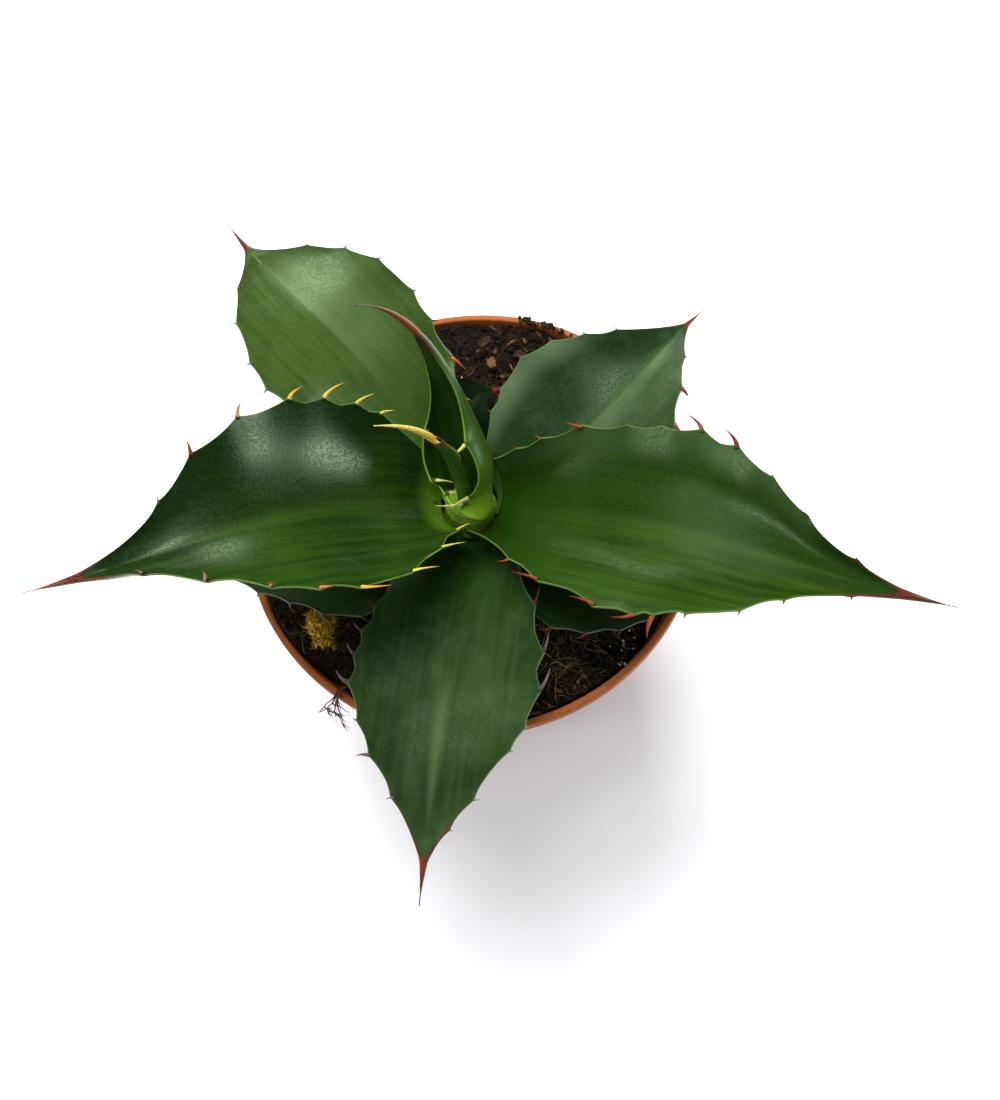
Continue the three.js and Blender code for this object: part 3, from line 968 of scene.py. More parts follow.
def lump_template(name: str, seed: int, detail: int = 2) -> Mesh:
    """Builds a rough crumb about two units across.

    Args:
        name: The name of the mesh.
        seed: What picks its shape.
        detail: How finely it is divided.

    Returns:
        The mesh.
    """
    bm = bmesh.new()
    bmesh.ops.create_icosphere(bm, subdivisions=detail, radius=1.0)
    for vertex in bm.verts:
        vertex.co *= 1.0 + 0.55 * noise.noise(vertex.co * 1.7 + Vector((seed * 3.1, seed, 0.5)))
    bm.verts.layers.float.new("tint")
    return as_mesh(bm, name)


def tumbled(draw: random.Random, lean: float) -> Euler:
    """Returns a random turn that leans by up to an angle in radians."""
    return Euler((draw.uniform(-lean, lean), draw.uniform(-lean, lean), draw.uniform(0.0, tau)))


class Heap:
    """Gathers many small shapes into one mesh."""

    def __init__(self) -> None:
        """Starts with nothing in the heap."""
        self.bm = bmesh.new()
        self.bm.verts.layers.float.new("tint")

    def add(self, mesh: Mesh, tint: float) -> None:
        """Adds a mesh with a tint and removes it from the file.

        Args:
            mesh: The mesh, in metres.
            tint: Where its colour lies between the darkest, 0, and the palest, 1.
        """
        mesh.attributes["tint"].data.foreach_set("value", [tint] * len(mesh.vertices))
        self.bm.from_mesh(mesh)
        bpy.data.meshes.remove(mesh)

    def stamp(self, template: Mesh, spot: Vector, turn: Euler, size: Vector, tint: float) -> None:
        """Adds a turned copy of a template, with its spot and size in millimetres.

        Args:
            template: The shape to copy.
            spot: Where the copy goes.
            turn: How the copy is turned.
            size: Its size along each axis.
            tint: Where its colour lies between the darkest, 0, and the palest, 1.
        """
        mesh = template.copy()
        mesh.transform(Matrix.LocRotScale(spot * MM, turn, size * MM))
        self.add(mesh, tint)

    def piece(self, name: str, material: Material, rounded: bool = True) -> Piece:
        """Returns the heap as one piece."""
        bmesh.ops.recalc_face_normals(self.bm, faces=self.bm.faces)
        return as_piece(self.bm, name, material, rounded)


# ---------------------------------------------------------------- leaves


@dataclass(frozen=True)
class Station:
    """One cross-section of a leaf: its frame and, on each side, its places out to the margin."""

    middle: Vector
    ahead: Vector
    side: Vector
    normal: Vector
    places: dict[int, list[Triple]]

    def at(self, sign: int, column: int, lift: float) -> tuple[Vector, Vector, Vector]:
        """Returns a point lifted off the section, with its outward and upward directions.

        Args:
            sign: 1 for the left side and -1 for the right one.
            column: The column, counted from the midrib.
            lift: How far the point is lifted.

        Returns:
            The point, the outward direction and the upward direction.
        """
        x, z, turn = self.places[sign][column]
        out = self.side * (sign * cos(turn)) + self.normal * sin(turn)
        up = self.side * (-sign * sin(turn)) + self.normal * cos(turn)
        point = self.middle + self.side * (sign * x) + self.normal * z
        return point + up * lift, out, up


@dataclass
class Leaf:
    """One leaf: a fleshy channelled blade with hooked teeth and an end needle, in millimetres.

    The spine is the curve of the midrib from the stem to the needle point, half the half widths
    from base to needle, curl the half angle of the channel in degrees, blade the share of the
    curve that is blade, and the teeth are stations of place, length, slant and rise on each margin.
    """

    name: str
    spine: tuple[Triple, ...]
    half: tuple[float, ...]
    curl: tuple[float, ...]
    blade: float
    heading: float
    thick: Pair
    left: Teeth
    right: Teeth
    tone: LeafTone
    tooth_ripe: Pair = (0.3, 0.6)
    needle_ripe: Pair = (0.6, 0.9)
    crease: float = 0.5
    ripple: Triple = (0.5, 1.5, 0.0)
    taper: float = 1.4
    columns: int = 14
    rows: int = 170
    points: list[Vector] = field(init=False)
    length: float = field(init=False)

    EDGE = 0.55
    POINT = 0.16
    ROOT_DEPTH = 1.2

    def __post_init__(self) -> None:
        """Works out the control points and the length of the midrib."""
        self.points = [Vector(p) for p in self.spine]
        steps = [bezier(self.points, i / 40) for i in range(41)]
        self.length = sum((b - a).length for a, b in zip(steps, steps[1:]))

    def half_width(self, t: float) -> float:
        """Returns half the width of the plain blade or needle at t.

        Args:
            t: The place along the spine, from 0 to 1.

        Returns:
            The half width.
        """
        if t <= self.blade:
            return ease(self.half, t / self.blade)
        share = (t - self.blade) / (1.0 - self.blade)
        return max(self.half[-1] * (1.0 - share) ** self.taper, self.POINT)

    def swell(self, t: float, sign: int) -> float:
        """Returns how far the teeth's cushions push a margin out at t.

        Args:
            t: The place along the spine, from 0 to 1.
            sign: 1 for the left side and -1 for the right one.

        Returns:
            The distance.
        """
        total = 0.0
        for place, length, _, _ in self.left if sign > 0 else self.right:
            rise = min(0.3 * length + 0.75, 2.7)
            gap = abs(t - place * self.blade) * self.length
            total = max(total, rise * exp(-((gap / (2.0 + 0.3 * length)) ** 1.15)))
        return total - 0.8 * smooth(0.1, 0.3, t) * smooth(self.blade, self.blade - 0.15, t)

    def needle_share(self, t: float) -> float:
        """Returns 0 on the blade and 1 on the round needle."""
        return smooth(self.blade - 0.07, self.blade + 0.03, t)

    def thickness(self, u: float, t: float) -> float:
        """Returns how thick the leaf is at u across and t along.

        Args:
            u: The place across, 0 at the midrib and 1 at the margin.
            t: The place along the spine, from 0 to 1.

        Returns:
            The thickness.
        """
        middle = mix(self.thick[0], self.thick[1], min(t / self.blade, 1.0))
        body = self.EDGE + (middle - self.EDGE) * (1.0 - abs(u) ** 2.2)
        return min(body, 1.7 * self.half_width(t) + 0.2)

    def relief(self, sign: int, u: float, t: float) -> float:
        """Returns the soft undulation of the blade, upward in millimetres.

        Args:
            sign: 1 for the left side and -1 for the right one.
            u: The place across, 0 at the midrib and 1 at the margin.
            t: The place along the spine, from 0 to 1.

        Returns:
            The height.
        """
        height, waves, phase = self.ripple
        fade = smooth(0.12, 0.35, t) * smooth(self.blade, self.blade - 0.25, t)
        folds = height * sin(tau * waves * sign * u * 0.5 + phase + 1.5 * t)
        rim = 0.7 * u * u * sin(t * self.length * 0.23 + 2.0 * sign + phase)
        return fade * (folds + rim)

    def station(self, t: float) -> Station:
        """Works out the cross-section at t.

        Args:
            t: The place along the spine, from 0 to 1.

        Returns:
            The cross-section.
        """
        middle = bezier(self.points, t)
        ahead = bezier_slope(self.points, t)
        turn = radians(self.heading)
        flat = Vector((-sin(turn), cos(turn), 0.0))
        side = (flat - ahead * flat.dot(ahead)).normalized()
        normal = ahead.cross(side)
        opening = radians(ease(self.curl, t)) * (1.0 - self.needle_share(t))
        sharp = self.crease * smooth(0.12, 0.6, t / self.blade)
        half = self.half_width(t)
        places = {}
        for sign in (-1, 1):
            rise = self.swell(t, sign) * (1.0 - self.needle_share(t))
            x = z = last = 0.0
            row = [(0.0, 0.0, 0.0)]
            for column in range(1, self.columns + 1):
                u = sin(0.5 * pi * column / self.columns)
                arc = half * u + rise * u**6
                halfway = 0.5 * (u + sin(0.5 * pi * (column - 1) / self.columns))
                lean = opening * self.bend_share(halfway, sharp)
                x += (arc - last) * cos(lean)
                z += (arc - last) * sin(lean)
                last = arc
                row.append((x, z, opening * self.bend_share(u, sharp)))
            places[sign] = row
        return Station(middle, ahead, side, normal, places)

    @staticmethod
    def bend_share(u: float, sharp: float) -> float:
        """Returns how much of the channel's angle is reached at u."""
        return (1.0 - sharp) * u + sharp * 0.62 * tanh(u / 0.13)

    def build(self) -> Piece:
        """Builds the leaf as one piece.

        Returns:
            The piece.
        """
        bm = bmesh.new()
        marks = [bm.verts.layers.float.new(name) for name in LEAF_MARKS]
        grain = bm.verts.layers.float_vector.new("grain")
        bmesh.ops.create_grid(bm, x_segments=2 * self.columns, y_segments=self.rows, size=0.5)
        lower = set(bm.verts)
        bmesh.ops.extrude_face_region(bm, geom=bm.faces[:])
        stations = [self.station(row / self.rows) for row in range(self.rows + 1)]
        for vertex in bm.verts:
            column = round((vertex.co.x + 0.5) * 2 * self.columns) - self.columns
            row = round((vertex.co.y + 0.5) * self.rows)
            self.place_vertex(vertex, column, row, vertex in lower, stations[row], marks, grain)
        for sign, teeth in ((1, self.left), (-1, self.right)):
            for tooth in teeth:
                self.add_tooth(bm, sign, tooth, marks)
        close_up(bm)
        return as_piece(bm, f"{self.name}_skin", leaf_material(self.tone))

    def place_vertex(
        self, vertex: bmesh.types.BMVert, column: int, row: int, under: bool,
        station: Station, marks: Sequence, grain: object,
    ) -> None:
        """Moves a grid vertex onto the leaf and writes its marks.

        Args:
            vertex: The vertex to move.
            column: Its column, from -columns at one margin to columns at the other.
            row: Its row from the base.
            under: Whether it is on the underside.
            station: The cross-section of its row.
            marks: The float layers of LEAF_MARKS.
            grain: The layer of the lengthwise coordinates.
        """
        t = row / self.rows
        sign = 1 if column >= 0 else -1
        u = sin(0.5 * pi * abs(column) / self.columns)
        round_share = self.needle_share(t)
        half = self.half_width(t)
        dome = half * sqrt(max(1.0 - u * u, 0.0))
        top = self.relief(sign, u, t) + round_share * dome
        lift = top if not under else mix(top - self.thickness(u, t), -dome, round_share)
        vertex.co, _, _ = station.at(sign, abs(column), lift)
        share = t / self.blade
        needle = max((t - self.blade) / (1.0 - self.blade), 0.0)
        horn = smooth(-0.02, 0.10, t - self.blade + 0.02 * u)
        ripe = mix(*self.needle_ripe, needle * needle)
        values = (min(share, 1.0), sign * u, (1.0 - u) * half + 0.02, float(under), horn, ripe)
        write_marks(vertex, marks, values)
        vertex[grain] = (sign * u * half * MM, t * self.length * MM, 0.0)

    def add_tooth(self, bm: Solid, sign: int, tooth: Quad, marks: Sequence) -> None:
        """Adds one hooked tooth to a margin.

        Args:
            bm: The leaf's mesh.
            sign: 1 for the left margin and -1 for the right one.
            tooth: Its place along the blade, its length, and in degrees its slant and its rise.
            marks: The float layers of LEAF_MARKS.
        """
        place, length, slant, rise = tooth
        t = place * self.blade
        station = self.station(t)
        lift = self.relief(sign, 1.0, t) - 0.5 * self.thickness(1.0, t)
        point, outward, up = station.at(sign, self.columns, lift)
        back = -station.ahead
        lean = radians(slant)
        root = point - outward * self.ROOT_DEPTH
        outward = outward * cos(radians(rise)) + up * sin(radians(rise))
        elbow = root + outward * (0.5 * length * cos(lean) + self.ROOT_DEPTH) + back * (0.1 * length)
        tip = point + (outward * cos(lean) + back * sin(lean)) * length + up * (0.06 * length)

        def path(s: float) -> Vector:
            """Returns the middle of the tooth at s."""
            return root * (1 - s) ** 2 + elbow * (2 * s * (1 - s)) + tip * s * s

        size = min(length / 5.0, 1.0)
        mesh = bent(horn_template(), path, 0.72 * size + 0.22, 0.42 * size + 0.14, up)
        heights = [v.co.z for v in horn_template().vertices]
        start = len(bm.verts)
        bm.from_mesh(mesh)
        bpy.data.meshes.remove(mesh)
        bm.verts.ensure_lookup_table()
        ripe = mix(*self.tooth_ripe, smooth(0.1, 0.8, place)) + 0.2 * smooth(3.2, 1.4, length)
        for vertex, s in zip(bm.verts[start:], heights):
            write_marks(vertex, marks, (place, sign, 0.3, 0.0, smooth(0.12, 0.5, s), ripe + 0.12 * s * s))


def write_marks(vertex: bmesh.types.BMVert, marks: Sequence, values: Sequence[float]) -> None:
    """Writes the values of LEAF_MARKS into the layers of a vertex."""
    for layer, value in zip(marks, values):
        vertex[layer] = value


@lru_cache(maxsize=None)
def horn_template() -> Mesh:
    """Builds the straight rod that every tooth is bent from."""
    return rod_template("horn", 8, 6, 0.07)


@lru_cache(maxsize=None)
def leaf_material(tone: LeafTone) -> Material:
    """Builds the material of a leaf tone once."""
    return tone.value.build(f"leaf_{tone.name.lower()}")


LOWER_CURL = (60, 30, 25, 30, 50)
LEAVES = (
    Leaf(
        name="leaf_spear",
        spine=((-1.5, -3, 115.2), (-3, 0, 138), (1, -5, 177), (-20, -6, 185)),
        half=(6.4, 5.6, 5, 4.4, 3, 1.2), curl=(152, 152, 150, 145, 110), blade=0.65, heading=200,
        thick=(1.4, 1.2), left=(), right=(), tone=LeafTone.HEART, needle_ripe=(0.20, 0.08),
        crease=0.0, ripple=(0.0, 1.0, 0.0), taper=0.75, columns=8, rows=110,
    ),
    Leaf(
        name="leaf_inner_channelled",
        spine=((2.2, -0.2, 115), (8, 2.7, 120.2), (4.1, 40.2, 170.4), (-18.1, 20.9, 201.8)),
        half=(21.5, 15.5, 19.2, 11.9, 5.2, 1.3), curl=(172, 117, 92, 75, 88), blade=0.765, heading=48,
        thick=(1.7, 1.4),
        left=((0.22, 7.5, 20, 100), (0.32, 6.5, 10, 95), (0.55, 1.5, -20, 120)),
        right=((0.19, 9, 0, 0), (0.26, 7, 20, 0), (0.55, 6.5, 0, 0)),
        tone=LeafTone.HEART, tooth_ripe=(0.0, 0.1), needle_ripe=(0.64, 0.80), crease=0.0,
        ripple=(0.0, 1.0, 0.0), columns=16,
    ),
    Leaf(
        name="leaf_left",
        spine=((-9, -2, 112), (-46, -3, 155), (-82, -25, 168), (-131, -19, 152)),
        half=(14, 29, 33, 26, 10, 1.5), curl=(80, 40, 45, 55, 60), blade=0.87, heading=187,
        thick=(4.2, 2.6),
        left=(
            (0.06, 4.5, 40, 30), (0.14, 7, 50, 20), (0.24, 8, 70, 40), (0.39, 8.5, 62, 20), (0.48, 4, 45, 40),
            (0.58, 6, -20, 50), (0.7, 6.5, 0, 60), (0.83, 4, -20, 60),
        ),
        right=(
            (0.18, 5, 80, 0), (0.23, 6.5, 60, 20), (0.3, 8.5, 60, 0), (0.38, 6, 60, 0), (0.51, 4.5, 30, 0),
            (0.64, 4, 0, 20), (0.75, 1.5, 10, 0),
        ),
        tone=LeafTone.LEFT, tooth_ripe=(0.10, 0.66), needle_ripe=(0.76, 0.42), crease=0.9,
        ripple=(0.6, 1.6, 0.6),
    ),
    Leaf(
        name="leaf_right",
        spine=((9, -4, 109.5), (53, -30, 146), (86, -60, 155), (131, -73, 136)),
        half=(18, 27, 31, 25, 10, 1.6), curl=(80, 35, 30, 40, 60), blade=0.88, heading=-30,
        thick=(4.2, 2.6),
        left=(
            (0.055, 2.2, 25, 0), (0.11, 3, 70, 0), (0.19, 5.5, 60, 60), (0.28, 2, 80, 0), (0.36, 1.5, 50, 0),
            (0.45, 6.5, 60, 0), (0.54, 6, 50, 20), (0.64, 1.5, 60, 0), (0.74, 2, 80, 0), (0.88, 1.5, 70, 0),
        ),
        right=(
            (0.15, 3.5, 40, -20), (0.23, 7.5, 40, 40), (0.37, 7, 50, 60), (0.46, 6.5, 60, 0),
            (0.5, 7.5, -10, -20), (0.56, 2, -10, 0), (0.66, 2, 0, 0), (0.74, 2.2, 0, 0), (0.88, 2, 10, 0),
        ),
        tone=LeafTone.RIGHT, tooth_ripe=(0.56, 0.68), needle_ripe=(0.74, 0.86), crease=0.45,
        ripple=(0.9, 2.0, 0.4),
    ),
    Leaf(
        name="leaf_back_left",
        spine=((-5, 8, 108), (-28, 55, 142), (-40, 52, 154), (-60, 98, 149)),
        half=(12, 22, 28, 28, 19, 1.1), curl=(80, 40, 30, 30, 50), blade=0.9, heading=125,
        thick=(4, 2.5),
        left=(
            (0.3, 3, 40, 0), (0.42, 2.5, 30, 0), (0.55, 2, 10, 0), (0.65, 1.8, -10, 0), (0.78, 1.7, -10, 20),
            (0.88, 1.5, -10, 20),
        ),
        right=(
            (0.08, 3, 50, 20), (0.15, 3.5, 50, 0), (0.24, 6, 80, 20), (0.35, 2, 60, 0), (0.45, 1.5, 40, 0),
            (0.61, 1.4, 30, 0), (0.74, 1.6, 10, 20), (0.85, 1.4, -20, 0),
        ),
        tone=LeafTone.BACK, tooth_ripe=(0.45, 0.84), needle_ripe=(0.78, 1.0), crease=0.85,
        ripple=(0.7, 1.3, 1.2),
    ),
    Leaf(
        name="leaf_back_right",
        spine=((9, 5, 105), (35, 3, 125), (63, 25, 138), (87, 43, 129)),
        half=(10, 23, 30, 26, 13, 0.9), curl=(80, 30, 25, 40, 60), blade=0.9, heading=26,
        thick=(4, 2.5),
        left=(
            (0.19, 1.5, 20, 0), (0.28, 1.5, 30, 0), (0.44, 1.8, 10, 0), (0.58, 1.4, -20, 0),
            (0.69, 1.4, -20, 0), (0.78, 1.3, -20, 0),
        ),
        right=(
            (0.3, 3, 40, 0), (0.42, 3, 30, 0), (0.54, 3, 20, 0), (0.65, 2.5, 10, 0), (0.76, 4.8, 20, 0),
            (0.87, 1.8, 0, 0),
        ),
        tone=LeafTone.BACK_DARK, tooth_ripe=(0.40, 0.72), needle_ripe=(0.70, 1.0), crease=0.9,
        ripple=(0.5, 1.4, 2.0),
    ),
    Leaf(
        name="leaf_front",
        spine=((-2, -10, 103.5), (-14, -54, 132), (-24, -89, 134), (-36, -122, 112)),
        half=(12, 21, 27, 25, 13, 1.2), curl=(80, 25, 15, 25, 50), blade=0.89, heading=254,
        thick=(4.2, 2.6),
        left=(
            (0.15, 4, 60, 0), (0.26, 7.5, 80, 20), (0.39, 6.8, 85, 0), (0.5, 7, 70, 20), (0.6, 1.2, 20, 0),
            (0.67, 1.2, -10, 0), (0.81, 1.8, 10, 0), (0.9, 1.2, 0, 0),
        ),
        right=(
            (0.2, 4, 50, 0), (0.29, 3, 30, 0), (0.37, 3.5, 40, 0), (0.44, 4, 50, 20), (0.52, 5.5, 40, -20),
            (0.63, 1.5, 40, 0), (0.72, 3.5, -10, 0), (0.83, 1.5, -20, 20),
        ),
        tone=LeafTone.FRONT, tooth_ripe=(0.80, 0.90), needle_ripe=(0.67, 0.86), crease=0.6,
        ripple=(0.4, 1.5, 0.3),
    ),
    Leaf(
        name="leaf_lower_left",
        spine=((-10, -7, 99.5), (-44, -27, 119), (-62, -11, 122), (-100, -4, 114)),
        half=(10, 15, 16.5, 12, 6, 1.3), curl=LOWER_CURL, blade=0.9, heading=183,
        thick=(3.4, 2.2),
        left=((0.25, 3, 40, 0), (0.38, 3, 30, 0), (0.5, 3, 20, 0), (0.62, 2.5, 20, 0), (0.75, 2, 10, 0)),
        right=((0.3, 3, 40, 0), (0.5, 3, 20, 0), (0.7, 2.5, 10, 0)),
        tone=LeafTone.SHADED, tooth_ripe=(0.7, 0.85), needle_ripe=(0.7, 1.0), rows=120,
    ),
    Leaf(
        name="leaf_lower_right",
        spine=((8, -9, 99.5), (28, -48, 119), (46, -36, 118), (72, -46, 110)),
        half=(11, 15, 18, 17, 10, 1.4), curl=LOWER_CURL, blade=0.9, heading=-30,
        thick=(3.4, 2.2),
        left=((0.35, 3, 30, 0), (0.6, 3, 20, 0)),
        right=((0.25, 3, 40, 0), (0.38, 4, 55, 0), (0.5, 4, 50, 0), (0.62, 3, 20, 0), (0.75, 2, 10, 0)),
        tone=LeafTone.SHADED, tooth_ripe=(0.6, 0.8), needle_ripe=(0.7, 1.0), rows=120,
    ),
    Leaf(
        name="leaf_lower_back",
        spine=((4, 12, 99.5), (2, 26, 112), (5, 40, 117), (19, 38, 111)),
        half=(9, 12, 15, 14, 9, 1.2), curl=LOWER_CURL, blade=0.9, heading=60,
        thick=(3.2, 2),
        left=((0.4, 2, 20, 0), (0.65, 2, 10, 0)),
        right=((0.45, 2, 20, 0), (0.7, 2, 10, 0)),
        tone=LeafTone.DEEP_SHADE, tooth_ripe=(0.6, 0.8), needle_ripe=(0.7, 1.0), rows=100,
    ),
)


@dataclass
class Rosette:
    """The leaves and the stem that carries them."""

    leaves: tuple[Leaf, ...] = LEAVES

    def build(self) -> None:
        """Builds every leaf and dresses the stem."""
        for leaf in self.leaves:
            shaded = leaf.tone in (LeafTone.SHADED, LeafTone.DEEP_SHADE)
            declare(leaf.build(), "leaf_tissue_shaded" if shaded else "leaf_tissue", leaf.name)
        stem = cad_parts["stem_with_roots"]
        stem.data.materials.clear()
        stem.data.materials.append(StemFinish().build("stem_tissue"))
        LOG.info("%s: kept from the frame", stem.name)


# ---------------------------------------------------------------- pot


@dataclass
class Pot:
    """The moulded nursery pot, in millimetres."""

    height: float = 105.0
    rim_radius: float = 75.0
    lip_width: float = 2.3
    lip_round: float = 0.7
    skirt_height: float = 4.6
    wall_top_radius: float = 73.4
    base_radius: float = 49.3
    wall: float = 1.5
    floor: float = 1.8
    foot_round: float = 1.2
    steps: int = 192
    holes: int = 8
    hole_radius: float = 4.0
    hole_circle: float = 34.0

    def inner_radius(self, z: float) -> float:
        """Returns the inner radius of the wall at height z."""
        share = z / (self.height - self.skirt_height)
        return mix(self.base_radius, self.wall_top_radius, share) - self.wall

    def profile(self) -> list[Pair]:
        """Returns the section of the wall as radius and height, from the axis out and back.

        Returns:
            The points.
        """
        skirt = self.height - self.skirt_height
        inner_lip = self.rim_radius - self.lip_width
        foot = self.base_radius
        points = [(0.0, 0.0), (foot - 6.0, 0.0), (foot - 5.5, 0.35), (foot - 4.5, 0.0)]
        points += self.arc(foot - self.foot_round, self.foot_round, self.foot_round, -90.0, -10.0)
        points += [(self.wall_top_radius, skirt - 0.6), (self.rim_radius - 0.5, skirt)]
        points += self.arc(self.rim_radius - 0.6, skirt + 0.6, 0.6, -90.0, 0.0)
        corner = self.lip_round
        points += self.arc(self.rim_radius - corner, self.height - corner, corner, 0.0, 90.0)
        points += self.arc(inner_lip + corner, self.height - corner, corner, 90.0, 180.0)
        well = self.inner_radius(self.floor)
        points += [(self.inner_radius(skirt), skirt - 1.0), (well + 0.1, self.floor + 0.8)]
        points += [(well - 0.8, self.floor), (0.0, self.floor)]
        return points

    @staticmethod
    def arc(x: float, z: float, radius: float, start: float, end: float) -> list[Pair]:
        """Returns the points of a rounded corner about (x, z), from start to end in degrees."""
        turns = [radians(mix(start, end, i / 4)) for i in range(5)]
        return [(x + radius * cos(a), z + radius * sin(a)) for a in turns]

    def shell(self) -> Solid:
        """Spins the section into the closed shell of the pot.

        Returns:
            The shell, in metres.
        """
        bm = spun(self.profile(), self.steps, MM)
        bmesh.ops.remove_doubles(bm, verts=bm.verts, dist=1e-6)
        bmesh.ops.recalc_face_normals(bm, faces=bm.faces)
        return bm

    def drills(self) -> Piece:
        """Builds the round cutters of the drainage holes.

        Returns:
            All the cutters as one object.
        """
        bm = bmesh.new()
        for index in range(self.holes):
            turn = tau * index / self.holes
            centre = Vector((cos(turn), sin(turn), 0.0)) * (self.hole_circle * MM)
            bmesh.ops.create_cone(
                bm, cap_ends=True, segments=32, radius1=self.hole_radius * MM, radius2=self.hole_radius * MM,
                depth=4 * self.floor * MM, matrix=Matrix.Translation(centre),
            )
        return put("drills", as_mesh(bm, "drills"))

    def build(self) -> None:
        """Builds the pot and cuts its drainage holes."""
        piece = as_piece(self.shell(), "pot_shell", PotFinish().build("pot_plastic"))
        cutter = self.drills()
        cut = piece.modifiers.new("holes", "BOOLEAN")
        cut.operation = "DIFFERENCE"
        cut.object = cutter
        view = bpy.context.evaluated_depsgraph_get()
        drilled = bpy.data.meshes.new_from_object(piece.evaluated_get(view))
        piece.modifiers.clear()
        piece.data = drilled
        bpy.data.objects.remove(cutter)
        drilled.polygons.foreach_set("use_smooth", [True] * len(drilled.polygons))
        drilled.set_sharp_from_angle(angle=radians(38))
        declare(piece, "pot_plastic", "pot")


# ---------------------------------------------------------------- potting mix


